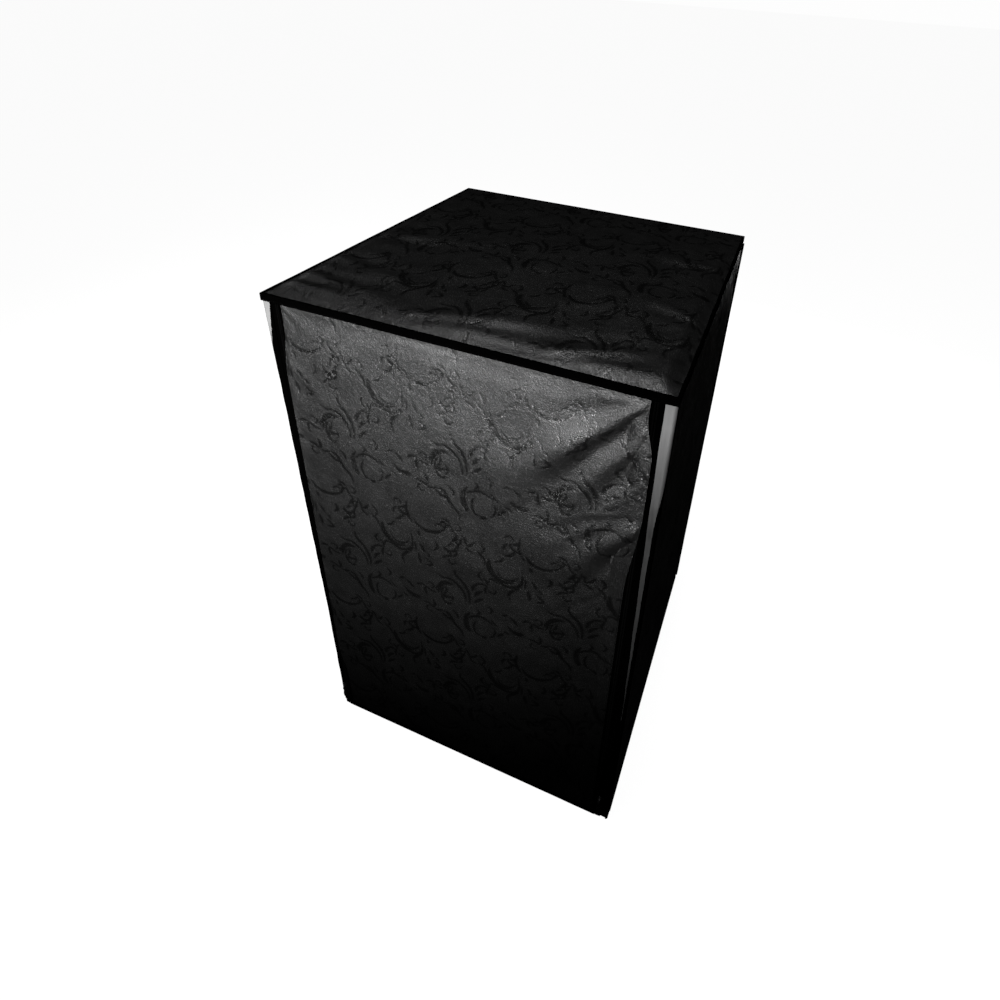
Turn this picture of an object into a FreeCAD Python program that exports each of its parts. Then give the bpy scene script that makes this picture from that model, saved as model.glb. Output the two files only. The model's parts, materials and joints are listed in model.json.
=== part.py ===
"""Printer enclosure tent: a tall box cover of embossed leatherette over a tube frame.

The frame is twelve steel tubes pushed onto eight three-way corner connectors. The cover is sewn from
flat panels with a folded binding round the top and hems at the bottom. Its front is a door of cloth,
zipped down both sides, that flips up over the top edge and folds once across its middle.

Axes: +X to the right, +Y to the rear, +Z up; the front faces -Y. The origin is on the floor under the
middle of the box. Lengths are in millimetres.
"""

import FreeCAD, Part
import Sketcher
import os

DIMENSIONS = {
    # whole box, measured over the cloth
    "width": 560,
    "depth": 560,
    "height": 900,
    "skin": 1.6,  # thickness that stands in for the cloth
    # frame
    "tube_radius": 8,
    "tube_wall": 1.2,
    "frame_inset": 16,  # from the cloth's outer face to the middle of a tube
    "hub_size": 22,
    "hub_round": 2,
    "spigot_play": 0.15,
    "spigot_reach": 28,
    "foot_height": 6,
    "foot_base_radius": 8,
    "foot_top_radius": 9.5,
    # front: door, zip and facing, measured from the middle of the box
    "door_half": 250,
    "chain_line": 256.8,
    "chain_play": 0.2,
    "facing_edge": 267,
    "facing_wrap": 14,
    "tape": 1.0,
    "tape_in": 242,
    "tape_out": 275,
    "coil_wide": 2.6,
    "coil_deep": 2.0,
    # binding, corded seams and hems
    "binding": 2,
    "binding_drop": 12,
    "binding_lap": 8,
    "cord_radius": 1.6,
    "hem_drop": 14,
    "hem_lift": 2,
    "hem_proud": 1.2,
    "fold_height": 330,  # where the door's cloth folds when it lies over the top
    "seam_gap": 0.5,
    # zip sliders and pulls
    "slider_rest": 56,
    "slider_out": 4.8,  # from the chain line to the slider's middle
    "slider_half": 4.2,
    "slider_tall": 15,
    "slider_nose": 4,
    "slider_face": 3.0,  # from the cloth's face to the slider's face
    "slider_plate": 1.4,
    "arch_half_tall": 4.2,
    "arch_bar": 1.2,
    "arch_hollow": 3.0,
    "arch_half_wide": 1.1,
    "pull_half": 3.9,
    "pull_length": 27,
    "pull_bar": 0.7,  # half the thickness of the pull
    "pull_window_half": 2.3,
    "pull_window_tall": 5.1,
    "pull_hole_radius": 1.3,
    # cable port in the rear panel
    "port_half": 42,
    "port_low": 64,
    "port_high": 106,
    "port_band": 8,
    "flap_half": 56,
    "flap_low": 46,
    "flap_high": 120,
    "flap_gap": 2.4,
    "flap_header": 12,
    "strip_half": 44,
    "strip_low": 49,
    "strip_high": 55,
    "strip_deep": 1.05,
}
SIDES = {"left": -1, "right": 1}
ENDS = {"front": -1, "rear": 1}
LEVELS = {"bottom": -1, "top": 1}

doc = FreeCAD.newDocument("PrinterEnclosureTent")
sheet = doc.addObject("Spreadsheet::Sheet", "Dims")
for row, (alias, value) in enumerate(DIMENSIONS.items(), start=1):
    sheet.set(f"A{row}", alias)
    sheet.set(f"B{row}", str(value))
    sheet.setAlias(f"B{row}", alias)
doc.recompute()

nodes = []


def dims(expression):
    """The expression with every alias written as a cell of the sheet."""
    for alias in sorted(DIMENSIONS, key=len, reverse=True):
        expression = expression.replace(f"<{alias}>", f"Dims.{alias}")
    return expression


def value_of(expression):
    """The number that an expression gives now."""
    for alias, value in DIMENSIONS.items():
        expression = expression.replace(f"<{alias}>", f"({value})")
    return FreeCAD.Units.Quantity(expression).Value


def bind(thing, **expressions):
    for prop, expression in expressions.items():
        thing.setExpression(prop.replace("__", "."), dims(expression))


def place(thing, x="0", y="0", z="0"):
    """Puts a sub-part at a point given by three expressions."""
    start = FreeCAD.Vector(value_of(x), value_of(y), value_of(z))
    thing.Placement = FreeCAD.Placement(start, FreeCAD.Rotation())
    bind(thing, Placement__Base__x=x, Placement__Base__y=y, Placement__Base__z=z)
    return thing


def new_body(name):
    body = doc.addObject("PartDesign::Body", name)
    body.Label = name
    nodes.append(body)
    return body


def new_sketch(body, plane, name):
    sketch = body.newObject("Sketcher::SketchObject", f"{body.Name}_{name}")
    origin = next(f for f in body.Origin.OriginFeatures if f.Role == plane)
    sketch.AttachmentSupport = [(origin, "")]
    sketch.MapMode = "FlatFace"
    return sketch


def outline(sketch, points):
    """A closed outline through points, each a pair of expressions that pin it to the sketch's origin."""
    places = [FreeCAD.Vector(value_of(u), value_of(v), 0) for u, v in points]
    count = len(points)
    first = sketch.GeometryCount
    for i in range(count):
        sketch.addGeometry(Part.LineSegment(places[i], places[(i + 1) % count]))
    for i in range(count):
        line, following = first + i, first + (i + 1) % count
        sketch.addConstraint(Sketcher.Constraint("Coincident", line, 2, following, 1))
    for i, (u, v) in enumerate(points):
        for kind, expression, start in (("DistanceX", u, places[i].x), ("DistanceY", v, places[i].y)):
            index = sketch.addConstraint(Sketcher.Constraint(kind, -1, 1, first + i, 1, start))
            sketch.setExpression(f"Constraints[{index}]", dims(expression))


def rectangle(sketch, left, right, low, high):
    outline(sketch, [(left, low), (right, low), (right, high), (left, high)])


def circle(sketch, radius, centre=None):
    middle = FreeCAD.Vector(0, 0, 0)
    if centre:
        middle = FreeCAD.Vector(value_of(centre[0]), value_of(centre[1]), 0)
    index = sketch.addGeometry(Part.Circle(middle, FreeCAD.Vector(0, 0, 1), value_of(radius)))
    if centre:
        for kind, expression in (("DistanceX", centre[0]), ("DistanceY", centre[1])):
            pin = sketch.addConstraint(
                Sketcher.Constraint(kind, -1, 1, index, 3, value_of(expression))
            )
            sketch.setExpression(f"Constraints[{pin}]", dims(expression))
    else:
        sketch.addConstraint(Sketcher.Constraint("Coincident", index, 3, -1, 1))
    size = sketch.addConstraint(Sketcher.Constraint("Radius", index, value_of(radius)))
    sketch.setExpression(f"Constraints[{size}]", dims(radius))


def pad(body, sketch, length, reverse=False, midplane=False):
    feature = body.newObject("PartDesign::Pad", f"{sketch.Name}_pad")
    feature.Profile = sketch
    feature.Length = value_of(length)
    bind(feature, Length=length)
    feature.Reversed = reverse
    feature.Midplane = midplane
    sketch.Visibility = False
    return feature


def cut_through(body, sketch):
    """A pocket through everything, both ways from the sketch."""
    feature = body.newObject("PartDesign::Pocket", f"{sketch.Name}_pocket")
    feature.Profile = sketch
    feature.Type = "ThroughAll"
    feature.Midplane = True
    sketch.Visibility = False
    return feature


def slab(name, x, y, z):
    """A flat piece given by its low and high expressions along each axis."""
    box = doc.addObject("Part::Box", name)
    box.Label = name
    for prop, (low, high) in (("Length", x), ("Width", y), ("Height", z)):
        setattr(box, prop, value_of(f"({high}) - ({low})"))
        box.setExpression(prop, dims(f"({high}) - ({low})"))
    place(box, x[0], y[0], z[0])
    nodes.append(box)
    return box


def signed(sign, low, high):
    """A stretch out from the middle, on the side that sign says, as (low, high)."""
    return (low, high) if sign > 0 else (f"-({high})", f"-({low})")


# ---------------------------------------------------------------- frame
TUBE_X = "(<width> / 2 - <frame_inset>)"
TUBE_Y = "(<depth> / 2 - <frame_inset>)"
TUBE_TOP = "(<height> - <frame_inset>)"
TUBE_LOW = "(<foot_height> + <hub_size> / 2)"


def tube(name, plane, length, x, y, z):
    """A round tube that starts at x, y, z and runs along the plane's normal."""
    body = new_body(name)
    ring = new_sketch(body, plane, "ring")
    circle(ring, "<tube_radius>")
    circle(ring, "<tube_radius> - <tube_wall>")
    pad(body, ring, length)
    return place(body, x, y, z)


def connector(name, sx, sy, sz):
    """A rounded cube with three spigots, each pointing into the box along one axis."""
    body = new_body(name)
    base = new_sketch(body, "XY_Plane", "cube")
    rectangle(base, "-<hub_size> / 2", "<hub_size> / 2", "-<hub_size> / 2", "<hub_size> / 2")
    cube = pad(body, base, "<hub_size>", midplane=True)
    doc.recompute()
    rounding = body.newObject("PartDesign::Fillet", f"{name}_round")
    rounding.Base = (cube, [f"Edge{i + 1}" for i in range(len(cube.Shape.Edges))])
    rounding.Radius = value_of("<hub_round>")
    bind(rounding, Radius="<hub_round>")
    # a pad grows along +X from the YZ plane, -Y from the XZ plane and +Z from the XY plane
    for plane, reverse in (("YZ_Plane", sx > 0), ("XZ_Plane", sy < 0), ("XY_Plane", sz > 0)):
        disc = new_sketch(body, plane, f"spigot_{plane[:2]}")
        circle(disc, "<tube_radius> - <tube_wall> - <spigot_play>")
        pad(body, disc, "<hub_size> / 2 + <spigot_reach>", reverse=reverse)
    level = TUBE_TOP if sz > 0 else TUBE_LOW
    return place(body, f"{sx} * {TUBE_X}", f"{sy} * {TUBE_Y}", level)


def build_frame():
    rise = f"{TUBE_TOP} - {TUBE_LOW} - <hub_size>"
    run_x = f"2 * {TUBE_X} - <hub_size>"
    run_y = f"2 * {TUBE_Y} - <hub_size>"
    for end, sy in ENDS.items():
        for side, sx in SIDES.items():
            tube(
                f"upright_{end}_{side}",
                "XY_Plane",
                rise,
                f"{sx} * {TUBE_X}",
                f"{sy} * {TUBE_Y}",
                f"{TUBE_LOW} + <hub_size> / 2",
            )
    for level, sz in LEVELS.items():
        height = TUBE_TOP if sz > 0 else TUBE_LOW
        for end, sy in ENDS.items():
            start = f"-{TUBE_X} + <hub_size> / 2"
            tube(f"{level}_rail_{end}", "YZ_Plane", run_x, start, f"{sy} * {TUBE_Y}", height)
        for side, sx in SIDES.items():
            start = f"{TUBE_Y} - <hub_size> / 2"
            tube(f"{level}_rail_{side}", "XZ_Plane", run_y, f"{sx} * {TUBE_X}", start, height)
        for end, sy in ENDS.items():
            for side, sx in SIDES.items():
                connector(f"corner_{level}_{end}_{side}", sx, sy, sz)
    feet = []
    for sy in ENDS.values():
        for sx in SIDES.values():
            foot = doc.addObject("Part::Cone", "foot")
            bind(foot, Radius1="<foot_base_radius>", Radius2="<foot_top_radius>", Height="<foot_height>")
            feet.append(place(foot, f"{sx} * {TUBE_X}", f"{sy} * {TUBE_Y}", "0"))
    pads = doc.addObject("Part::Compound", "foot_pads")
    pads.Label = "foot_pads"
    pads.Links = feet
    nodes.append(pads)


# ---------------------------------------------------------------- cover
FACE_Y = "(<depth> / 2)"
FACE_X = "(<width> / 2)"
INNER_X = f"({FACE_X} - <skin>)"
INNER_Y = f"({FACE_Y} - <skin>)"
PANEL_TOP = "(<height> - <skin>)"
DOOR_TOP = "(<height> - <binding_drop> - <seam_gap>)"
DOOR_Y = (f"-{FACE_Y}", f"-{INNER_Y}")
TAPE_Y = (f"-{INNER_Y}", f"-{INNER_Y} + <tape>")
COIL_Y = (f"-{FACE_Y} - <coil_deep> + <skin>", f"-{INNER_Y}")
HALVES = {
    "upper": ("<fold_height> + <seam_gap>", DOOR_TOP),
    "lower": ("<hem_drop>", "<fold_height> - <seam_gap>"),
}


def build_panels():
    slab("top_panel", (f"-{FACE_X}", FACE_X), (f"-{FACE_Y}", FACE_Y), (PANEL_TOP, "<height>"))
    for side, sign in SIDES.items():
        wall = signed(sign, INNER_X, FACE_X)
        slab(f"{side}_panel", wall, (f"-{FACE_Y} + <facing_wrap>", FACE_Y), ("<hem_drop>", PANEL_TOP))

    rear = new_body("rear_panel")
    sheet_face = new_sketch(rear, "XZ_Plane", "sheet")
    rectangle(sheet_face, f"-{INNER_X}", INNER_X, "<hem_drop>", PANEL_TOP)
    pad(rear, sheet_face, "<skin>")
    slot = new_sketch(rear, "XZ_Plane", "slot")
    rectangle(slot, "-<port_half>", "<port_half>", "<port_low>", "<port_high>")
    cut_through(rear, slot)
    place(rear, y=FACE_Y)


def build_facings():
    """Smooth strips round the front corners: a leg on the front face and a leg on the side."""
    for side, sign in SIDES.items():
        body = new_body(f"facing_{side}")
        corner = new_sketch(body, "XY_Plane", "corner")
        near, inner, far = (signed(sign, edge, edge)[0] for edge in ("<facing_edge>", INNER_X, FACE_X))
        wrap_end = f"-{FACE_Y} + <facing_wrap>"
        outline(
            corner,
            [
                (near, f"-{FACE_Y}"),
                (far, f"-{FACE_Y}"),
                (far, wrap_end),
                (inner, wrap_end),
                (inner, f"-{INNER_Y}"),
                (near, f"-{INNER_Y}"),
            ],
        )
        pad(body, corner, f"{PANEL_TOP} - <hem_lift>")
        place(body, z="<hem_lift>")


def angle_strip(name, plane, length, turn):
    """An L-shaped folded strip hugging a top edge; turn is the sign of the side that it faces.

    Sketch u runs outwards from the box's edge and v is measured up from the top of the cloth.
    """
    body = new_body(name)
    profile = new_sketch(body, plane, "fold")
    outer, lap = f"{turn} * <binding>", f"{-turn} * <binding_lap>"
    outline(
        profile,
        [
            (outer, "<binding>"),
            (outer, "-<binding_drop>"),
            ("0", "-<binding_drop>"),
            ("0", "0"),
            (lap, "0"),
            (lap, "<binding>"),
        ],
    )
    pad(body, profile, length, midplane=True)
    return body


def build_binding_and_seams():
    for end, sign in ENDS.items():
        strip = angle_strip(f"top_binding_{end}", "YZ_Plane", "<width> + 2 * <binding>", sign)
        place(strip, y=f"{sign} * {FACE_Y}", z="<height>")
    for side, sign in SIDES.items():
        # on the XZ plane u is X, so the strip faces the side that its sign says
        strip = angle_strip(f"top_binding_{side}", "XZ_Plane", "<depth> - 2 * <binding_lap>", sign)
        place(strip, x=f"{sign} * {FACE_X}", z="<height>")
        seam = doc.addObject("Part::Cylinder", f"rear_seam_{side}")
        seam.Label = f"rear_seam_{side}"
        bind(seam, Radius="<cord_radius>", Height="<height> - <binding_drop> - <hem_drop>")
        place(
            seam,
            f"{sign} * ({FACE_X} + <cord_radius>)",
            f"{FACE_Y} - <cord_radius>",
            "<hem_drop>",
        )
        nodes.append(seam)


def build_hems():
    low, high = "<hem_lift>", "<hem_drop>"
    outer_x, outer_y = f"({FACE_X} + <hem_proud>)", f"({FACE_Y} + <hem_proud>)"
    for side, sign in SIDES.items():
        run = (f"-{FACE_Y} + <facing_wrap>", FACE_Y)
        slab(f"hem_{side}", signed(sign, INNER_X, outer_x), run, (low, high))
    slab("hem_rear", (f"-{INNER_X}", INNER_X), (INNER_Y, outer_y), (low, high))
    door_edge = "(<chain_line> - <chain_play>)"
    slab("hem_door", (f"-{door_edge}", door_edge), (f"-{outer_y}", f"-{INNER_Y}"), (low, high))


def build_door_and_zips():
    for half, span in HALVES.items():
        slab(f"door_{half}", ("-<door_half>", "<door_half>"), DOOR_Y, span)
    coil_out = "<chain_line> + <chain_play> + <coil_wide>"
    for side, sign in SIDES.items():
        side_span = ("<hem_drop>", DOOR_TOP)
        side_tape = signed(sign, "<chain_line> + <chain_play>", "<tape_out>")
        side_coil = signed(sign, "<chain_line> + <chain_play>", coil_out)
        slab(f"zip_side_tape_{side}", side_tape, TAPE_Y, side_span)
        slab(f"zip_side_coil_{side}", side_coil, COIL_Y, side_span)
        door_tape = signed(sign, "<tape_in>", "<chain_line> - <chain_play>")
        door_coil = signed(sign, "<chain_line> - <chain_play> - <coil_wide>", "<chain_line> - <chain_play>")
        for half, span in HALVES.items():
            slab(f"zip_door_tape_{half}_{side}", door_tape, TAPE_Y, span)
            slab(f"zip_door_coil_{half}_{side}", door_coil, COIL_Y, span)


def slider(side, sign):
    """A zip slider: a tapered plate in front of the chain, a flange behind it and an arch for the pull.

    The body's origin is on the chain's face at the pull's pin; the front is towards -Y.
    """
    body = new_body(f"zip_slider_{side}")
    tall, half, nose = "<slider_tall> / 2", "<slider_half>", "<slider_nose>"
    plate = new_sketch(body, "XZ_Plane", "plate")
    outline(
        plate,
        [
            (f"-{half} + {nose} / 2", f"-({tall})"),
            (f"{half} - {nose} / 2", f"-({tall})"),
            (half, f"-({tall}) + {nose}"),
            (half, f"({tall}) - {nose}"),
            (f"{half} - {nose} / 2", tall),
            (f"-{half} + {nose} / 2", tall),
            (f"-{half}", f"({tall}) - {nose}"),
            (f"-{half}", f"-({tall}) + {nose}"),
        ],
    )
    pad(body, plate, "<slider_plate>", reverse=True)
    # the flange runs back beside the coil, short of the tape
    flange = new_sketch(body, "XZ_Plane", "flange")
    near, far = "<slider_half> - 3.2", "<slider_half> - 1.6"
    left, right = (near, far) if sign > 0 else (f"-({far})", f"-({near})")
    rectangle(flange, left, right, f"-({tall}) + {nose}", f"({tall}) - {nose}")
    pad(body, flange, "<slider_face> + <skin> - <seam_gap>", reverse=True)
    # the arch stands on the plate's face, drawn from the side: u is Y and v is Z
    arch = new_sketch(body, "YZ_Plane", "arch")
    reach = "<arch_hollow> + <arch_bar>"
    inner = "<arch_half_tall> - <arch_bar>"
    outline(
        arch,
        [
            ("<slider_plate> / 2", "-<arch_half_tall>"),
            (f"-({reach}) + <arch_bar>", "-<arch_half_tall>"),
            (f"-({reach})", f"-({inner})"),
            (f"-({reach})", inner),
            (f"-({reach}) + <arch_bar>", "<arch_half_tall>"),
            ("<slider_plate> / 2", "<arch_half_tall>"),
            ("<slider_plate> / 2", inner),
            ("-<arch_hollow>", inner),
            ("-<arch_hollow>", f"-({inner})"),
            ("<slider_plate> / 2", f"-({inner})"),
        ],
    )
    pad(body, arch, "2 * <arch_half_wide>", midplane=True)
    return place(
        body,
        f"{sign} * (<chain_line> + <slider_out>)",
        f"-{FACE_Y} - <slider_face>",
        "<slider_rest>",
    )


def pull(side, sign):
    """A flat pull tab: its top bar turns inside the slider's arch, and it has a hole near its tip."""
    body = new_body(f"zip_pull_{side}")
    face = new_sketch(body, "XZ_Plane", "face")
    half, taper = "<pull_half>", "<pull_half> / 4"
    outline(
        face,
        [
            (f"-{half}", "<pull_bar>"),
            (f"-{half}", "-<pull_length> / 2"),
            (f"-{half} + {taper}", "-<pull_length>"),
            (f"{half} - {taper}", "-<pull_length>"),
            (half, "-<pull_length> / 2"),
            (half, "<pull_bar>"),
        ],
    )
    pad(body, face, "2 * <pull_bar>", midplane=True)
    window = new_sketch(body, "XZ_Plane", "window")
    low = "-<pull_bar> - <pull_window_tall>"
    rectangle(window, "-<pull_window_half>", "<pull_window_half>", low, "-<pull_bar>")
    cut_through(body, window)
    hole = new_sketch(body, "XZ_Plane", "hole")
    circle(hole, "<pull_hole_radius>", ("0", "-<pull_length> + 3 * <pull_hole_radius>"))
    cut_through(body, hole)
    return place(
        body,
        f"{sign} * (<chain_line> + <slider_out>)",
        f"-{FACE_Y} - <slider_face> - <arch_hollow> / 2",
        "<slider_rest>",
    )


def build_cable_port():
    band = new_body("port_binding")
    ring = new_sketch(band, "XZ_Plane", "ring")
    wide = "(<port_half> + <port_band>)"
    rectangle(ring, f"-{wide}", wide, "<port_low> - <port_band>", "<port_high> + <port_band>")
    pad(band, ring, "<strip_deep>")
    slot = new_sketch(band, "XZ_Plane", "slot")
    rectangle(slot, "-<port_half>", "<port_half>", "<port_low>", "<port_high>")
    cut_through(band, slot)
    place(band, y=f"{FACE_Y} + <strip_deep>")

    flap_inner = f"({FACE_Y} + <flap_gap>)"
    flap_x, strip_x = ("-<flap_half>", "<flap_half>"), ("-<strip_half>", "<strip_half>")
    slab("port_flap", flap_x, (flap_inner, f"{flap_inner} + <skin>"), ("<flap_low>", "<flap_high>"))
    header = ("<flap_high> + <seam_gap>", "<flap_high> + <flap_header>")
    slab("port_flap_header", flap_x, (FACE_Y, flap_inner), header)
    strip_z = ("<strip_low>", "<strip_high>")
    slab("port_loop_strip", strip_x, (FACE_Y, f"{FACE_Y} + <strip_deep>"), strip_z)
    slab("port_hook_strip", strip_x, (f"{flap_inner} - <strip_deep>", flap_inner), strip_z)


def check_and_export():
    doc.recompute()
    for thing in doc.Objects:
        if {"Invalid", "Error"} & set(thing.State):
            raise RuntimeError(f"{thing.Label} did not build: {thing.State}")
    for node in nodes:
        if node.Shape.isNull() or not node.Shape.isValid() or not node.Shape.Solids:
            raise RuntimeError(f"{node.Label} has no valid solid")
    os.makedirs("parts", exist_ok=True)
    for node in nodes:
        node.Shape.exportStep(f"parts/{node.Label}.step")
    print(len(nodes), "nodes written")


build_frame()
build_panels()
build_facings()
build_binding_and_seams()
build_hems()
build_door_and_zips()
for side, sign in SIDES.items():
    slider(side, sign)
    pull(side, sign)
build_cable_port()
check_and_export()
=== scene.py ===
"""Black leatherette enclosure tent: every soft piece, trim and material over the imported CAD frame."""
import json
import math

import bmesh
import bpy
import numpy as np
from mathutils import Matrix, Vector


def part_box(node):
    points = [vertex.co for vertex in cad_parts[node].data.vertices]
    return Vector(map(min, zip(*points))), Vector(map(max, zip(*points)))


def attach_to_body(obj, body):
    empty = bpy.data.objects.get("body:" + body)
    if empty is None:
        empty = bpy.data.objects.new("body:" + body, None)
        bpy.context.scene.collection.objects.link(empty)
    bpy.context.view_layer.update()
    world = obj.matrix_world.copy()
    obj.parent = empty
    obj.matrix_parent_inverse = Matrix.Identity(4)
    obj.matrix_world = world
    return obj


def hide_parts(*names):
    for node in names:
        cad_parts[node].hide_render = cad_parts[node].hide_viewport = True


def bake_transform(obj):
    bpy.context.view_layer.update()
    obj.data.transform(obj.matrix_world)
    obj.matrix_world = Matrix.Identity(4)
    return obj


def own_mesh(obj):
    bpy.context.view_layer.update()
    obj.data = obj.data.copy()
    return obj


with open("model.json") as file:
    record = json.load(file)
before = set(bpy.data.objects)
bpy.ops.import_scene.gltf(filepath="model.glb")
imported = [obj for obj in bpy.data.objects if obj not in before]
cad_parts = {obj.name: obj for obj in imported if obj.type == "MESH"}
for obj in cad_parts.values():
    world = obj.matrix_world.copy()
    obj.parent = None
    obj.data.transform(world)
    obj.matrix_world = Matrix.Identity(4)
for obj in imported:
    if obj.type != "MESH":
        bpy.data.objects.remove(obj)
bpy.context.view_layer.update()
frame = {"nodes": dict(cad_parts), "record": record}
MM = 0.001


# ---- the frame's places, in millimetres
def span(node):
    """The lowest and highest corners of a CAD node at rest."""
    return tuple(np.array(corner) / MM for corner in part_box(node))


def low(node):
    return span(node)[0]


def high(node):
    return span(node)[1]


HALF = high("top_panel")[0]
TOP = high("top_panel")[2]
FRONT = low("door_upper")[1]
REAR = high("rear_panel")[1]
SIDE_FROM = low("right_panel")[1]
CLOTH_LOW = low("rear_panel")[2]
SIDE_TOP = high("rear_panel")[2]
DOOR_HALF = high("door_upper")[0]
DOOR_TOP = high("door_upper")[2]
DOOR_LOW = low("door_lower")[2]
CUT_ABOVE = 30.0  # the door's cloth is cut this far above the hinge between its halves
DOOR_SPLIT = high("door_lower")[2] + CUT_ABOVE
TUCKED = 4.5  # what the top binding hides of the door and its zips
CLOTH_TOP = DOOR_TOP + TUCKED
PORT_LOW, PORT_HIGH = span("port_binding")
PORT_BAND = 8.0
CLOTH = 0.9  # the thickness of the coated cloth
PRESS_DEEP, SWELL_HIGH = 0.36, 0.12  # how deep the scrolls are pressed, and how far the cloth swells by them


# ---- small maths
def smooth(t):
    """An easy step from 0 to 1."""
    t = np.clip(t, 0.0, 1.0)
    return t * t * (3.0 - 2.0 * t)


def fade(distance, over):
    """0 at an edge, 1 once distance is past over."""
    return smooth(distance / over)


def ripples(u, v, seed, longest, shortest, waves=22):
    """Band-limited unevenness of about unit height, the same on every run."""
    rng = np.random.default_rng(seed)
    total = np.zeros_like(u)
    for _ in range(waves):
        wave = shortest * (longest / shortest) ** rng.random()
        turn = rng.random() * math.tau
        phase = rng.random() * math.tau
        k = math.tau / wave
        total += np.sin(k * (u * math.cos(turn) + v * math.sin(turn)) + phase)
    return total / math.sqrt(waves / 2.0)


def crease(u, v, start, end, height, narrow, wide, bow):
    """A pulled fold: a ridge on its right and a trough on its left, sharp at start and wide at end."""
    du, dv = end[0] - start[0], end[1] - start[1]
    length = math.hypot(du, dv)
    cu, cv = du / length, dv / length
    along = ((u - start[0]) * cu + (v - start[1]) * cv) / length
    off = -(u - start[0]) * cv + (v - start[1]) * cu
    off = off + bow * np.sin(math.pi * np.clip(along, 0, 1))
    width = narrow + (wide - narrow) * np.clip(along, 0, 1)
    strength = smooth((along + 0.02) / 0.12) * smooth((1.0 - along) / 0.7)
    q = off / width
    return -height * strength * (width / wide) * q * np.exp((1.0 - q * q) / 2.0)


def folded(u, v, folds):
    """Every fold of a list added up: start, end, height, narrow, wide and bow of each."""
    return sum(crease(u, v, *fold) for fold in folds)


PUCKER_REACH = 14.0  # how far from a seam its gathers run out


def puckers(along, away, seed, pitch=9.0):
    """Small gathers where the cloth is sewn: waves along the seam that die out away from it."""
    slow = ripples(along, along * 0, seed, pitch * 4, pitch, 14)
    return slow * np.exp(-np.clip(away, 0, None) / PUCKER_REACH) * smooth(away / 2.5)


# ---- the pressed scroll pattern
TILE_W, TILE_H, CELL = 177.6, 252.0, 0.6
STROKE_HALF = 0.60  # half the drawn width of a stroke, as a share of its nominal width
STROKE_DABS = 60
VEINED = 1.8  # a stroke whose half width is above this has a raised vein
VEIN_RISE, VEIN_SHARE, VEIN_LEAST = 0.35, 0.26, 0.45
TILE_NX, TILE_NY = int(round(TILE_W / CELL)), int(round(TILE_H / CELL))


def dab(field, x, y, radius):
    """One round touch of the tool; the tile wraps round at its edges."""
    n = int(math.ceil(radius / CELL)) + 1
    ix, iy = int(round(x / CELL)), int(round(y / CELL))
    a, b = np.arange(ix - n, ix + n + 1), np.arange(iy - n, iy + n + 1)
    near = ((a[:, None] * CELL - x) ** 2 + (b[None, :] * CELL - y) ** 2) / radius**2
    rise = np.clip(1.0 - near, 0.0, 1.0) ** 0.6 * min(1.0, radius / 1.4)
    np.maximum.at(field, ((a % TILE_NX)[:, None], (b % TILE_NY)[None, :]), rise)


def flowing(points, count):
    """A smooth curve through a few points (Catmull-Rom)."""
    p = np.array(points, float)
    p = np.concatenate([[2 * p[0] - p[1]], p, [2 * p[-1] - p[-2]]])
    t = np.linspace(0, len(points) - 1 - 1e-6, count)
    k = t.astype(int)
    t = (t - k)[:, None]
    a, b, c, d = p[k], p[k + 1], p[k + 2], p[k + 3]
    return 0.5 * (2 * b + (c - a) * t + (2 * a - 5 * b + 4 * c - d) * t**2 + (3 * b - 3 * c + d - a) * t**3)


def stroke(field, at, points, width, fattest):
    """A tapering stroke through points, in millimetres from the motif's own centre."""
    curve = flowing(points, STROKE_DABS)
    s = np.linspace(0, 1, len(curve))
    rising = np.sin(0.5 * math.pi * np.clip(s / fattest, 0, 1))
    falling = np.cos(0.5 * math.pi * np.clip((s - fattest) / (1 - fattest), 0, 1))
    half = STROKE_HALF * width * np.maximum(np.where(s < fattest, rising, falling) ** 0.6, 0.25)
    for (x, y), radius in zip(curve, half):
        dab(field[0], at[0] + x, at[1] + y, radius)
        if radius > VEINED:
            dab(field[1], at[0] + x, at[1] + y, VEIN_SHARE * radius + VEIN_LEAST)


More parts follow.
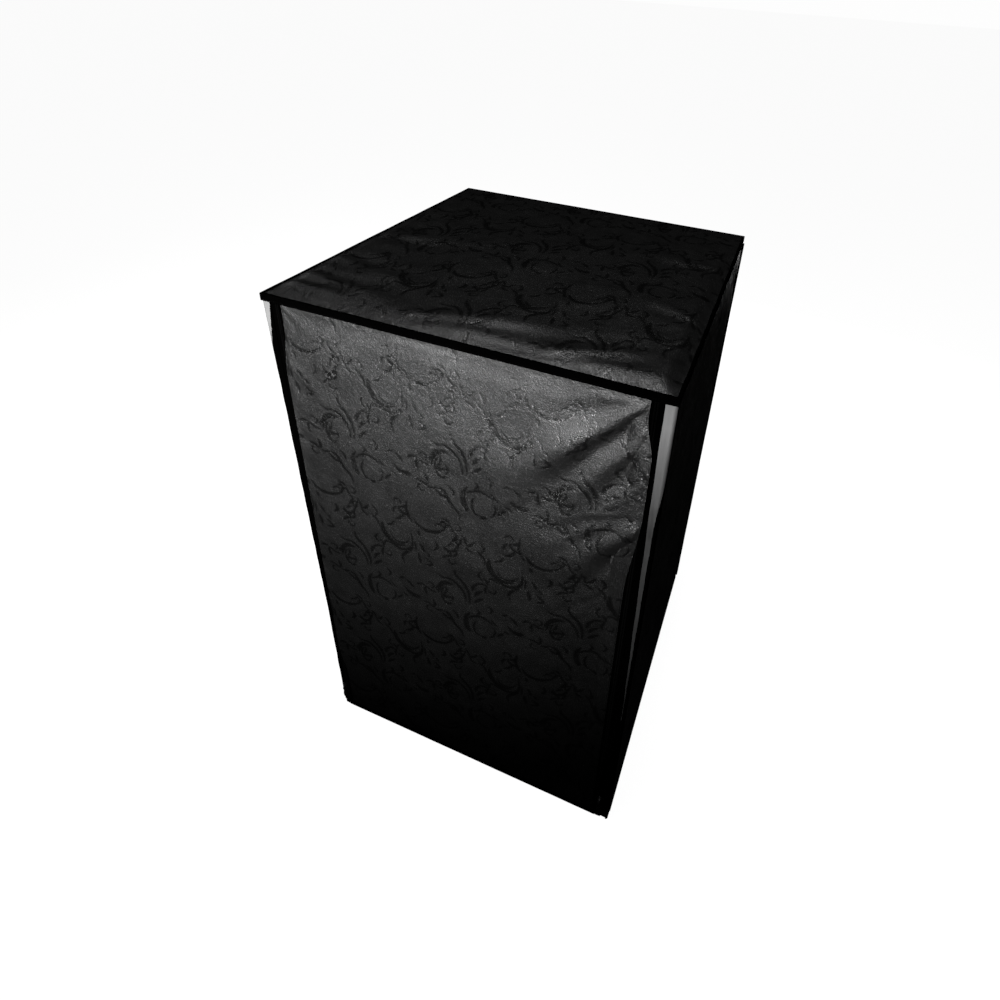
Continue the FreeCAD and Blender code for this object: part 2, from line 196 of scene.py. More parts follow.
# Each stroke: its points in millimetres from the motif's centre, its width, and where along it is widest.
# Two stems that part from one foot, a curled leaf under the left one and a scroll below.
FORKED_SCROLL = (
    (((3, 3), (3, 22), (-3, 40), (-18, 58), (-19, 70)), 5.6, 0.45),
    (((-2, 0), (-4, 16), (-10, 30), (-26, 43), (-42, 42), (-54, 49)), 4.6, 0.4),
    (((-24, 33), (-38, 31), (-47, 20), (-50, 3)), 8.0, 0.4),
    (((-33, 26), (-43, 14), (-44, -4), (-34, -12)), 2.6, 0.5),
    (((-34, 14), (-26, 8), (-26, -2), (-34, -8)), 2.4, 0.5),
    (((-41, 1), (-35, -1)), 5.5, 0.5),
    (((-42, -11), (-34, -13), (-27, -8)), 4.2, 0.5),
    (((8, 34), (11, 46), (18, 55)), 5.6, 0.5),
    (((12, 24), (17, 34), (26, 42)), 5.4, 0.5),
    (((11, 10), (18, 18), (27, 26)), 5.2, 0.5),
    (((33, 14), (41, 6), (36, -5)), 4.2, 0.4),
    (((16, -3), (20, -10), (14, -16)), 4.2, 0.5),
    (((3, -16), (-3, -30), (-2, -48), (3, -60)), 8.6, 0.72),
    (((0, -30), (9, -22), (22, -17), (36, -21), (42, -27)), 4.6, 0.45),
    (((16, -27), (10, -42), (14, -58), (27, -63)), 3.4, 0.5),
    (((24, -64), (31, -61)), 6.2, 0.5),
    (((49, -50), (60, -37)), 4.4, 0.5),
    (((40, -30), (46, -40), (42, -54), (34, -58)), 2.6, 0.5),
    (((52, -26), (44, -22), (38, -12)), 3.0, 0.5),
    (((-42, -33), (-32, -38), (-24, -54), (-12, -68), (-8, -82)), 5.6, 0.25),
    (((-46, -38), (-36, -46), (-26, -46)), 5.0, 0.4),
    (((-26, -24), (-18, -32), (-18, -40)), 4.0, 0.5),
    (((58, 3), (66, 8)), 4.4, 0.5),
    (((70, 6), (77, -1), (83, -8)), 4.6, 0.5),
    (((66, -16), (74, -24), (84, -26), (92, -24)), 8.4, 0.8),
    (((60, -30), (70, -36)), 3.6, 0.5),
)
# A heavy crescent that cradles a curl, a tail that hooks under it, and leaves on its right.
HOOKED_SCROLL = (
    (((0, 28), (2, 6), (-1, -10), (-10, -22), (-18, -34), (-15, -50)), 5.4, 0.6),
    (((-50, 24), (-49, 8), (-40, -6), (-26, -12), (-12, -8)), 9.0, 0.3),
    (((-42, 22), (-32, 27), (-28, 36)), 4.2, 0.4),
    (((-36, 16), (-34, 0), (-22, -6), (-8, 0), (-2, 14)), 2.8, 0.5),
    (((-50, -26), (-47, -15), (-34, -16), (-20, -19), (-7, -14), (0, -4)), 4.8, 0.6),
    (((6, 12), (7, -2), (6, -14)), 2.8, 0.5),
    (((13, 34), (15, 24)), 4.6, 0.5),
    (((42, 24), (45, 14), (39, 5)), 5.0, 0.5),
    (((15, 8), (20, 0), (23, -7)), 4.4, 0.5),
    (((11, -14), (13, -24), (15, -34)), 5.2, 0.5),
    (((24, -18), (34, -28), (22, -34)), 4.6, 0.4),
    (((27, -6), (32, -14)), 3.4, 0.5),
    (((5, 55), (14, 43), (29, 39), (46, 44), (60, 56)), 5.8, 0.4),
    (((50, 62), (57, 68), (62, 60)), 3.6, 0.5),
    (((40, 52), (48, 60), (58, 56)), 2.6, 0.5),
    (((-2, 88), (-5, 66), (0, 50), (4, 44)), 5.0, 0.5),
    (((-8, 60), (-16, 46), (-26, 40)), 4.6, 0.5),
    (((55, 24), (63, 15), (74, 20), (82, 36), (88, 54)), 5.0, 0.3),
    (((68, 34), (74, 42), (79, 52)), 5.0, 0.5),
    (((62, 22), (68, 30), (72, 30)), 4.4, 0.5),
    (((-66, 52), (-58, 40), (-62, 30)), 4.2, 0.5),
    (((-70, 34), (-58, 22), (-56, 10)), 3.8, 0.4),
    (((-60, -4), (-66, -16), (-58, -26)), 3.6, 0.5),
)
# A small spray of three leaves and a curl that fills a gap.
SPRIG = (
    (((0, 0), (5, 8), (6, 19)), 4.6, 0.5),
    (((0, 0), (-6, 8), (-15, 12)), 4.2, 0.5),
    (((1, -1), (8, -4), (17, -2)), 4.2, 0.5),
    (((-2, -3), (-10, -9), (-16, -3), (-11, 3), (-8, -1)), 2.6, 0.5),
)
# Every motif on the tile: its strokes, where its centre is, and how far it is turned, in degrees.
MOTIFS = [(FORKED_SCROLL, 30, 70, 0), (HOOKED_SCROLL, 116, 160, 0)]
MOTIFS += [(SPRIG, *place) for place in (
    (148, 34, 20), (136, 78, 200), (166, 74, 290), (8, 166, 70),
    (30, 196, 330), (6, 226, 160), (96, 226, 250), (64, 128, 120),
)]


def draw_tile():
    """The pressed strokes, less the raised vein along the fat part of each."""
    field = np.zeros((2, TILE_NX, TILE_NY))
    for strokes, across, up, turn in MOTIFS:
        c, s = math.cos(math.radians(turn)), math.sin(math.radians(turn))
        for points, width, fattest in strokes:
            stroke(field, (across, up), [(x * c - y * s, x * s + y * c) for x, y in points], width, fattest)
    return field[0] - VEIN_RISE * field[1]


def softened(field, cells, rounds):
    """A repeating field blurred by box averages."""
    for _ in range(rounds):
        for axis in (0, 1):
            field = sum(np.roll(field, k, axis) for k in range(-cells, cells + 1)) / (2 * cells + 1)
    return field


PRESS = softened(draw_tile(), 1, 1)
SWELL = softened(PRESS, 5, 2)


def sampled(field, u, v):
    """A repeating field read between its cells, at places in millimetres."""
    x, y = u / CELL, v / CELL
    ix, iy = np.floor(x).astype(int), np.floor(y).astype(int)
    fx, fy = x - ix, y - iy
    i0, i1 = ix % TILE_NX, (ix + 1) % TILE_NX
    j0, j1 = iy % TILE_NY, (iy + 1) % TILE_NY
    below = field[i0, j0] * (1 - fx) + field[i1, j0] * fx
    above = field[i0, j1] * (1 - fx) + field[i1, j1] * fx
    return below * (1 - fy) + above * fy


# ---- mesh building
def link(name, data):
    """An object in the scene from a mesh, light or camera."""
    obj = bpy.data.objects.new(name, data)
    bpy.context.scene.collection.objects.link(obj)
    return obj


def grid_normals(points):
    """The unit normal at every point of a grid surface."""
    du = np.gradient(points, axis=0)
    dv = np.gradient(points, axis=1)
    n = np.cross(du, dv)
    return n / np.maximum(np.linalg.norm(n, axis=2, keepdims=True), 1e-9)


COARSE = 4  # the lining has one grid cell for this many of the outer skin's, each way


def lines(*marks, step):
    """Grid lines through every mark, near step apart, in whole cells of the lining between marks."""
    runs = []
    for a, b in zip(marks, marks[1:]):
        count = max(COARSE, COARSE * int(round(abs(b - a) / step / COARSE)))
        runs.append(np.linspace(a, b, count + 1)[:-1])
    return np.append(np.concatenate(runs), marks[-1])


def rim_faces(solid, outer, inner):
    """Faces that join the fine outer skin to the coarse inner one round every open edge."""
    faces = []
    up, down = range(COARSE + 1), range(COARSE, -1, -1)
    open_at = np.pad(~solid, 1, constant_values=True)
    for i, j in np.argwhere(solid):
        a, b = COARSE * i, COARSE * j
        if open_at[i + 1, j]:
            faces.append([outer[a + k, b] for k in down] + [inner[i, j], inner[i + 1, j]])
        if open_at[i + 1, j + 2]:
            faces.append([outer[a + k, b + COARSE] for k in up] + [inner[i + 1, j + 1], inner[i, j + 1]])
        if open_at[i, j + 1]:
            faces.append([outer[a, b + k] for k in up] + [inner[i, j + 1], inner[i, j]])
        if open_at[i + 2, j + 1]:
            faces.append([outer[a + COARSE, b + k] for k in down] + [inner[i + 1, j], inner[i + 1, j + 1]])
    return faces


def quads(index, solid):
    """The quads of a grid of vertex numbers, where solid is true."""
    a, b = index[:-1, :-1], index[1:, :-1]
    c, d = index[1:, 1:], index[:-1, 1:]
    return np.stack([a, b, c, d], -1)[solid]


def cloth_mesh(name, points, normals, press, thick=CLOTH, solid=None):
    """A closed shell: a fine outer skin, a coarse lining thick behind it, and the rims between."""
    nu, nv = points.shape[0] - 1, points.shape[1] - 1
    if solid is None:
        solid = np.ones((nu // COARSE, nv // COARSE), bool)
    fine = np.repeat(np.repeat(solid, COARSE, 0), COARSE, 1)
    inward = -normals[::COARSE, ::COARSE]
    back = points[::COARSE, ::COARSE] + inward * thick
    outer = np.arange((nu + 1) * (nv + 1)).reshape(nu + 1, nv + 1)
    inner = outer.size + np.arange(back.shape[0] * back.shape[1]).reshape(back.shape[:2])
    front_quads, back_quads = quads(outer, fine), quads(inner, solid)[:, ::-1]
    rims = rim_faces(solid, outer, inner)
    co = np.concatenate([points.reshape(-1, 3), back.reshape(-1, 3)]) * MM
    nor = np.concatenate([normals.reshape(-1, 3), inward.reshape(-1, 3)])
    depth = np.concatenate([press.ravel(), np.zeros(inner.size)])
    used = np.zeros(len(co), bool)
    used[front_quads.ravel()] = True
    used[back_quads.ravel()] = True
    loops = np.concatenate([front_quads.ravel(), back_quads.ravel(), np.concatenate(rims)])
    sizes = np.concatenate([np.full(len(front_quads) + len(back_quads), 4), [len(r) for r in rims]])
    mesh = new_mesh(name, co[used], (np.cumsum(used) - 1)[loops], sizes)
    slots = np.zeros(len(sizes), np.int32)
    slots[len(front_quads) : len(front_quads) + len(back_quads)] = 1
    mesh.polygons.foreach_set("material_index", slots)
    mesh.attributes.new("press", "FLOAT", "POINT").data.foreach_set("value", depth[used].astype(np.float32))
    mesh.normals_split_custom_set_from_vertices(nor[used].tolist())
    return mesh


def new_mesh(name, co, loops, sizes):
    """A mesh from its vertices in metres, its faces' corners in a row and each face's size."""
    mesh = bpy.data.meshes.new(name)
    mesh.vertices.add(len(co))
    mesh.vertices.foreach_set("co", co.astype(np.float32).ravel())
    mesh.loops.add(len(loops))
    mesh.loops.foreach_set("vertex_index", loops.astype(np.int32))
    mesh.polygons.add(len(sizes))
    mesh.polygons.foreach_set("loop_start", (np.cumsum(sizes) - sizes).astype(np.int32))
    mesh.update(calc_edges=True)
    mesh.validate()
    mesh.shade_smooth()
    return mesh


def merged(name, parts):
    """One mesh from many (vertices, faces) parts, in millimetres."""
    co, loops, sizes, base = [], [], [], 0
    for vertices, faces in parts:
        co.append(np.asarray(vertices, float))
        for face in faces:
            loops.extend(base + k for k in face)
            sizes.append(len(face))
        base += len(vertices)
    return new_mesh(name, np.concatenate(co) * MM, np.array(loops), np.array(sizes))


def copies(name, shape, places):
    """One mesh that repeats a small shape (vertices, quads) at every place, all at once."""
    vertices, faces = shape
    co = (places[:, None, :] + vertices[None]).reshape(-1, 3)
    shift = (np.arange(len(places)) * len(vertices))[:, None, None]
    return new_mesh(name, co * MM, (faces[None] + shift).ravel(), np.full(len(places) * len(faces), 4))


def rounded(corners, radius, steps):
    """A closed outline with its corners rounded."""
    out = []
    pts = [np.array(c, float) for c in corners]
    for k, p in enumerate(pts):
        a, b = pts[k - 1] - p, pts[(k + 1) % len(pts)] - p
        cut = min(radius, 0.48 * np.linalg.norm(a), 0.48 * np.linalg.norm(b))
        s, e = p + a / np.linalg.norm(a) * cut, p + b / np.linalg.norm(b) * cut
        for t in np.linspace(0, 1, steps + 1):
            out.append((1 - t) ** 2 * s + 2 * t * (1 - t) * p + t * t * e)
    return np.array(out)


def tube_faces(rings, sides):
    """The quads of a tube whose points come ring by ring."""
    faces = []
    for ring in range(rings):
        for k in range(sides):
            a, b = ring * sides + k, ring * sides + (k + 1) % sides
            faces.append([a, b, b + sides, a + sides])
    return faces


def sweep(profile, start, end, across, out, steps, bend=None):
    """(vertices, faces) of a closed outline carried from start to end; bend(t) shifts it across and out."""
    start, end = np.array(start, float), np.array(end, float)
    across, out = np.array(across, float), np.array(out, float)
    n = len(profile)
    rows = []
    for t in np.linspace(0, 1, steps + 1):
        da, do = bend(t) if bend else (0.0, 0.0)
        at = start + (end - start) * t
        rows.append(at + np.outer(profile[:, 0] + da, across) + np.outer(profile[:, 1] + do, out))
    area = np.sum(profile[:, 0] * np.roll(profile[:, 1], -1) - np.roll(profile[:, 0], -1) * profile[:, 1])
    along = np.dot(np.cross(across, out), end - start)
    faces = tube_faces(steps, n) + [list(range(n))[::-1], [steps * n + k for k in range(n)]]
    if area * along < 0:
        faces = [f[::-1] for f in faces]
    return np.concatenate(rows), faces


def capsule(size, sides, rings):
    """(vertices, quads) of a soft bar of the given size, which rounds off along its longest side."""
    size = np.array(size, float) / 2
    axis = int(np.argmax(size))
    others = [k for k in range(3) if k != axis]
    ts = np.linspace(-1, 1, rings + 1) * 0.995
    rows = []
    for t in ts:
        r = (1 - abs(t) ** 3) ** 0.5 * 0.92 + 0.08 * (1 - abs(t))
        for k in range(sides):
            turn = math.tau * k / sides
            p = np.zeros(3)
            p[axis] = t * size[axis]
            p[others[0]] = size[others[0]] * r * math.cos(turn)
            p[others[1]] = size[others[1]] * r * math.sin(turn)
            rows.append(p)
    faces = tube_faces(rings, sides)
    for base, order in ((0, -1), (rings * sides, 1)):
        loop = [base + k for k in range(sides)][::order]
        for k in range(1, sides - 2, 2):
            faces.append([loop[0], loop[k], loop[k + 1], loop[k + 2]])
    faces = np.array(faces)
    return np.array(rows), faces[:, ::-1] if axis == 1 else faces


def done(obj, body, slot_name, *nodes, material=None, sharp=None):
    """Gives a piece its materials (its slot's own, or another), hides its CAD nodes, and gives it its body:
    a body's name, or a function that is then called on the piece."""
    for m in [material] if material else FINISHES[slot_name]:
        obj.data.materials.append(m)
    if sharp is not None:
        obj.data.set_sharp_from_angle(angle=math.radians(sharp))
    if nodes:
        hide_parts(*nodes)
    if callable(body):
        body(obj)
    else:
        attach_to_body(obj, body)
    return obj


BAND_SHARP, METAL_SHARP = 50, 40  # degrees past which an edge of a band or of metal stays sharp


def band(name, swept, body, slot_name, *nodes, material=None):
    """A piece made of swept bars: each of swept is what sweep() takes."""
    mesh = merged(name, [sweep(*each) for each in swept])
    return done(link(name, mesh), body, slot_name, *nodes, material=material, sharp=BAND_SHARP)


# ---- materials
class Nodes:
    """A short way to write a material's node tree."""

    def __init__(self, name):
        self.material = bpy.data.materials.new(name)
        self.material.use_nodes = True
        self.tree = self.material.node_tree
        self.tree.nodes.clear()
        self.shader = self.add("ShaderNodeBsdfPrincipled")
        out = self.add("ShaderNodeOutputMaterial")
        self.tree.links.new(self.shader.outputs[0], out.inputs["Surface"])
        self.place = self.add("ShaderNodeTexCoord").outputs["Object"]

    def add(self, kind, **settings):
        node = self.tree.nodes.new(kind)
        for key, value in settings.items():
            setattr(node, key, value)
        return node

    def link(self, source, target):
        self.tree.links.new(source, target)

    def mapped(self, kind, source=None, settings=None, **inputs):
        """The outputs of a node that reads the place, or source, with its numbers on its own sockets."""
        node = self.add(kind, **(settings or {}))
        for key, value in inputs.items():
            node.inputs[key].default_value = value
        self.link(source or self.place, node.inputs["Vector"])
        return node.outputs

    def noise(self, scale, detail=3.0, rough=0.5, source=None):
        return self.mapped("ShaderNodeTexNoise", source, Scale=scale, Detail=detail, Roughness=rough)["Fac"]

    def cells(self, scale, feature="F1", source=None):
        return self.mapped("ShaderNodeTexVoronoi", source, {"feature": feature}, Scale=scale)["Distance"]

    def stretched(self, x, y, z):
        return self.mapped("ShaderNodeMapping", Scale=(x, y, z))["Vector"]

    def wave(self, scale, direction):
        bands = {"wave_type": "BANDS", "bands_direction": direction}
        return self.mapped("ShaderNodeTexWave", None, bands, Scale=scale)["Fac"]

    def attribute(self, name):
        return self.add("ShaderNodeAttribute", attribute_name=name).outputs["Fac"]

    def math(self, operation, *values):
        node = self.add("ShaderNodeMath", operation=operation)
        for value, socket in zip(values, node.inputs):
            if isinstance(value, (int, float)):
                socket.default_value = value
            else:
                self.link(value, socket)
        return node.outputs[0]

    def mixed(self, *shares):
        """Values added up, each times its share."""
        total = None
        for value, share in shares:
            part = self.math("MULTIPLY", value, share)
            total = part if total is None else self.math("ADD", total, part)
        return total

    def axes(self):
        """The three coordinates of the place."""
        node = self.add("ShaderNodeSeparateXYZ")
        self.link(self.place, node.inputs[0])
        return node.outputs

    def uneven(self, scale, detail, rough, least, most):
        """Noise whose middle range runs from least to most."""
        return self.remap(self.noise(scale, detail, rough), 0.3, 0.7, least, most)

    def remap(self, value, a, b, to_a, to_b):
        node = self.add("ShaderNodeMapRange")
        for key, number in (("From Min", a), ("From Max", b), ("To Min", to_a), ("To Max", to_b)):
            node.inputs[key].default_value = number
        self.link(value, node.inputs["Value"])
        return node.outputs["Result"]

    def ramp(self, value, *stops):
        node = self.add("ShaderNodeValToRGB")
        while len(node.color_ramp.elements) < len(stops):
            node.color_ramp.elements.new(0.5)
        for element, (place, grey) in zip(node.color_ramp.elements, stops):
            element.position = place
            element.color = (grey, grey, grey, 1.0)
        self.link(value, node.inputs["Fac"])
        return node.outputs["Color"]

    def bump(self, height, distance_mm, strength, under=None):
        node = self.add("ShaderNodeBump")
        node.inputs["Distance"].default_value = distance_mm * MM
        node.inputs["Strength"].default_value = strength
        self.link(height, node.inputs["Height"])
        if under is not None:
            self.link(under, node.inputs["Normal"])
        return node.outputs["Normal"]

    def finish(self, colour=None, rough=None, normal=None, **fixed):
        """The material, from what drives its main sockets and the numbers that are fixed on the others."""
        for socket, source in (("Base Color", colour), ("Roughness", rough), ("Normal", normal)):
            if source is not None:
                self.link(source, self.shader.inputs[socket])
        for key, value in fixed.items():
            self.shader.inputs[key.replace("_", " ")].default_value = value
        return self.material


def warped(n, scale, reach):
    """The place, pushed about by noise."""
    small = n.add("ShaderNodeVectorMath", operation="SCALE")
    small.inputs["Scale"].default_value = reach
    n.link(n.mapped("ShaderNodeTexNoise", Scale=scale)["Color"], small.inputs[0])
    moved = n.add("ShaderNodeVectorMath", operation="ADD")
    n.link(n.place, moved.inputs[0])
    n.link(small.outputs[0], moved.inputs[1])
    return moved.outputs[0]


def leatherette():
    """Black coated cloth: wrinkled grain, a satin lustre, and smoother pressed scrolls painted darker, partly
    their own tone and partly painted shade in the grooves.
    """
    n = Nodes("embossed leatherette")
    press = n.attribute("press")
    creases = n.cells(400.0, "DISTANCE_TO_EDGE", warped(n, 120.0, 0.006))
    pebble = n.math("MINIMUM", n.math("MULTIPLY", creases, 3.2), 1.0)
    # the press share darkens the colour: partly the scrolls' own tone, partly painted shade in the grooves
    shade = n.mixed((n.noise(9.0), 0.55), (n.noise(70.0, 4.0), 0.45), (press, -0.25), (pebble, 0.08))
    colour = n.ramp(shade, (0.2, 0.0016), (0.5, 0.0030), (0.8, 0.0050))
    rough = n.math("SUBTRACT", n.uneven(40.0, 5.0, 0.6, 0.395, 0.465), n.math("MULTIPLY", press, 0.18))
    soft = n.bump(n.noise(270.0, 3.0, 0.55), 0.42, 0.60)
    leather = n.bump(pebble, 0.27, 0.75, soft)
    normal = n.bump(n.noise(900.0, 3.0, 0.6), 0.07, 0.6, leather)
    return n.finish(colour, rough, normal, Specular_IOR_Level=0.9, IOR=1.5)


def facing_finish():
    """Smooth grey-black cloth with faint streaks, and a painted sheen that makes it lighter high up and
    darker further down.
    """
    n = Nodes("smooth facing")
    streaks = n.noise(1.0, 4.0, 0.6, n.stretched(260, 260, 18))
    # painted sheen: the colour grows lighter from 0.70 m up to 0.86 m, where the key light catches the strip
    painted_sheen_high_up = n.remap(n.axes()["Z"], 0.70, 0.86, 0.0, 0.62)
    mottle = n.mixed((streaks, 0.6), (n.noise(30.0), 0.4))
    colour = n.ramp(n.math("ADD", n.math("MULTIPLY", mottle, 0.5), painted_sheen_high_up),
                    (0.1, 0.020), (0.3, 0.045), (0.6, 0.13), (0.9, 0.24))
    normal = n.bump(n.cells(900.0, "SMOOTH_F1"), 0.08, 0.35, n.bump(streaks, 0.25, 0.4))
    return n.finish(colour, n.uneven(60.0, 4.0, 0.5, 0.38, 0.46), normal, Specular_IOR_Level=1.0)


def knit_backing():
    """The matt knitted lining of the coated cloth."""
    n = Nodes("knit backing")
    knit = n.math("MULTIPLY", n.wave(330.0, "Z"), n.math("MAXIMUM", n.wave(260.0, "X"), n.wave(260.0, "Y")))
    fuzz = n.noise(1500.0, 3.0, 0.7)
    shade = n.mixed((knit, 0.5), (n.noise(22.0, 4.0), 0.5))
    colour = n.ramp(shade, (0.1, 0.010), (0.6, 0.028), (1.0, 0.045))
    normal = n.bump(fuzz, 0.12, 0.5, n.bump(knit, 0.25, 0.7))
    rough = n.remap(fuzz, 0.2, 0.8, 0.82, 0.96)
    return n.finish(colour, rough, normal, Sheen_Weight=0.15, Sheen_Roughness=0.5)


def woven(name, scale, tint, rough, spec=0.0):
    """Ribbed tape: twill ribs with a finer yarn across them."""
    n = Nodes(name)
    ribs, yarn = n.wave(scale, "DIAGONAL"), n.wave(scale * 1.7, "Z")
    weave = n.math("MULTIPLY", n.math("ADD", ribs, 0.35), n.math("ADD", yarn, 0.5))
    fuzz = n.noise(1800.0, 3.0, 0.7)
    colour = n.ramp(n.mixed((weave, 0.4), (n.noise(45.0, 4.0), 0.5)),
                    (0.15, tint * 0.55), (0.55, tint), (0.95, tint * 1.7))
    normal = n.bump(fuzz, 0.08, 0.4, n.bump(weave, 0.18, 0.7))
    rough = n.remap(fuzz, 0.2, 0.8, rough - 0.05, rough + 0.07)
    return n.finish(colour, rough, normal, Specular_IOR_Level=spec)


def nylon(name, tint, rough, grain, spec):
    """Moulded or drawn nylon with a faint mottle."""
    n = Nodes(name)
    mottle, broad = n.noise(grain, 3.0, 0.6), n.noise(24.0, 4.0)
    shade = n.mixed((mottle, 0.3), (broad, 0.7))
    colour = n.ramp(shade, (0.25, tint * 0.6), (0.55, tint), (0.85, tint * 1.6))
    rough = n.remap(broad, 0.3, 0.7, rough - 0.06, rough + 0.08)
    return n.finish(colour, rough, n.bump(mottle, 0.07, 0.35), Specular_IOR_Level=spec)


def lacquered_metal(name, tint, wear):
    """Black lacquer with paler metal where the edges rub."""
    n = Nodes(name)
    edge = n.add("ShaderNodeNewGeometry").outputs["Pointiness"]
    edge = n.math("ADD", edge, n.math("MULTIPLY", n.noise(500.0, 4.0), 0.06))
    rubbed = n.remap(edge, 0.555, 0.60, 0.0, wear)
    mix = n.add("ShaderNodeMix", data_type="RGBA")
    mix.inputs[7].default_value = (0.16, 0.16, 0.165, 1.0)
    n.link(rubbed, mix.inputs[0])
    n.link(n.ramp(n.noise(320.0, 4.0), (0.3, tint * 0.7), (0.7, tint * 1.5)), mix.inputs[6])
    normal = n.bump(n.noise(900.0, 2.0), 0.03, 0.3)
    return n.finish(mix.outputs[2], n.uneven(180.0, 4.0, 0.5, 0.34, 0.48), normal, Metallic=0.4,
                    Specular_IOR_Level=0.3)


def powder_coat():
    """The frame tubes' powder coat, with its orange peel."""
    n = Nodes("powder coat")
    peel = n.noise(750.0, 2.0)
    shade = n.mixed((peel, 0.4), (n.noise(14.0, 4.0), 0.6))
    colour = n.ramp(shade, (0.3, 0.022), (0.6, 0.040), (0.85, 0.060))
    return n.finish(colour, n.uneven(90.0, 4.0, 0.5, 0.42, 0.58), n.bump(peel, 0.12, 0.5), Metallic=0.1,
                    Specular_IOR_Level=0.5)


def rubber():
    """Dusty black rubber."""
    n = Nodes("foot rubber")
    dust = n.noise(120.0, 5.0, 0.7)
    colour = n.ramp(dust, (0.3, 0.012), (0.6, 0.020), (0.9, 0.045))
    return n.finish(colour, n.remap(dust, 0.3, 0.8, 0.6, 0.85), n.bump(n.cells(700.0), 0.1, 0.5))


def hooks(name, tint):
    """Hook or loop tape: fine tufts."""
    n = Nodes(name)
    tufts = n.cells(1100.0)
    shade = n.mixed((tufts, 0.7), (n.noise(60.0), 0.4))
    colour = n.ramp(shade, (0.1, tint * 1.6), (0.5, tint), (0.9, tint * 0.4))
    return n.finish(colour, n.remap(tufts, 0.0, 0.6, 0.9, 0.7), n.bump(tufts, 0.4, 0.9), Sheen_Weight=0.3)


THREAD = woven("thread", 1500.0, 0.0022, 0.75, 0.03)
BINDING, KNIT = woven("binding", 620.0, 0.0005, 0.82), knit_backing()
HOOK, LOOP = hooks("hook tape", 0.012), hooks("loop tape", 0.018)
FINISHES = {
    "embossed_cloth": [leatherette(), KNIT],
    "facing_cloth": [facing_finish(), KNIT, BINDING],
    "binding_tape": [BINDING],
    "zip_tape": [woven("zip tape", 760.0, 0.0005, 0.88)],
    "zip_coil": [nylon("zip coil", 0.0010, 0.70, 600.0, 0.04)],
    "zip_metal": [lacquered_metal("zip metal", 0.006, 0.12)],
}
FRAME_FINISHES = {
    "frame_tube": powder_coat(),
    "connector_plastic": nylon("moulded nylon", 0.020, 0.50, 420.0, 0.45),
    "foot_rubber": rubber(),
}


# ---- how each wall of cloth lies
# How far each slack wall stands out at its middle, and the least and the most that any point of it may.
DOOR_BELLY, DOOR_MOST = 9.0, 14.0
TOP_BELLY, TOP_LEAST, TOP_MOST = 3.0, -2.5, 22.0
WALL_BELLY, WALL_LEAST, WALL_MOST = 7.0, -3.0, 12.0


def pulled_flat(x, z, sides, top):
    """1 over the door, 0 where it is sewn to the zips, the top and the hem."""
    return fade(DOOR_HALF - np.abs(x), sides) * fade(DOOR_TOP - z, top) * fade(z - DOOR_LOW, 46)


DOOR_FOLDS = (
    ((256, 887), (60, 662), 11.5, 4, 36, -2),
    ((260, 858), (146, 640), 7.6, 6, 26, 4),
    ((262, 790), (196, 660), 3.0, 6, 16, 2),
    ((262, 708), (168, 530), 6.0, 7, 24, 3),
    ((258, 890), (96, 830), 1.0, 4, 15, 3),
    ((258, 640), (196, 520), 1.4, 5, 13, 2),
    ((256, 560), (185, 400), 1.5, 6, 24, 3),
    ((226, 690), (120, 590), 0.9, 4, 12, 4),
    ((225, 566), (110, 470), 0.7, 3, 10, -3),
    ((238, 716), (110, 640), 0.7, 3, 9, 3),
    ((210, 515), (110, 430), 0.6, 4, 10, 2),
    ((120, 700), (20, 610), 0.8, 4, 14, 3),
    ((-252, 800), (-188, 722), -0.8, 6, 16, -2),
    ((-252, 694), (-192, 640), -0.8, 5, 15, -2),
    ((-252, 560), (-170, 450), -0.6, 7, 20, -3),
    ((-252, 330), (-150, 230), -0.6, 7, 22, 3),
    ((-252, 884), (-214, 862), -0.7, 3, 8, 0),
    ((-60, 889), (-120, 790), 0.5, 7, 18, 3),
    ((90, 889), (30, 800), 0.5, 7, 16, 3),
    ((60, 20), (20, 180), 0.7, 8, 26, 5),
    ((-120, 20), (-150, 140), 0.6, 8, 22, -4),
)


def door_out(x, z):
    """How far the door stands out: its belly, its lower right turned back, its folds and its gathered seams.
    Near its sides it stays out of the zips behind it."""
    across = np.clip((x + 20) / 270, -1, 1)
    belly = DOOR_BELLY * (1 - across**2) * np.sin(math.pi * np.clip((z - 14) / 880, 0, 1)) ** 0.7
    turned = -7.0 * smooth((x - 95) / 130) * smooth((640 - z) / 260)
    folds = 0.55 * ripples(x, z, 3, 210, 90) + 0.05 * ripples(x, z, 4, 60, 26) + folded(x, z, DOOR_FOLDS)
    rise = (belly + turned) * pulled_flat(x, z, 34, 30) + folds * pulled_flat(x, z, 6, 10)
    rise = rise + 0.14 * puckers(x, DOOR_TOP - z, 21, 13.0) + 0.25 * puckers(x, z - DOOR_LOW, 22)
    rise = rise + 0.16 * puckers(z, DOOR_HALF - np.abs(x), 23, 13.0)
    deepest = -0.3 - 6.7 * fade(DOOR_HALF - 12 - np.abs(x), 26)
    return np.clip(rise, deepest, DOOR_MOST)


TOP_FOLDS = (
    ((-278, -232), (-120, -246), 2.6, 6, 12, 0),
    ((-278, -196), (-70, -228), 4.4, 8, 17, 3),
    ((-278, -130), (-60, -176), 4.0, 9, 19, 3),
    ((-278, -40), (-90, -30), -3.2, 8, 19, -3),
    ((-278, 76), (-120, 70), 2.8, 8, 19, 2),
    ((278, 84), (130, 64), 2.8, 8, 18, 2),
    ((278, -114), (160, -96), 2.4, 7, 16, 2),
    ((20, -240), (250, -184), -1.6, 9, 17, 3),
    ((110, -266), (278, -210), -2.0, 7, 13, 3),
    ((-80, -258), (110, -218), -2.2, 8, 15, 3),
    ((-120, 278), (-90, 180), 1.6, 8, 19, 3),
    ((140, 278), (110, 170), 1.6, 8, 19, -3),
)


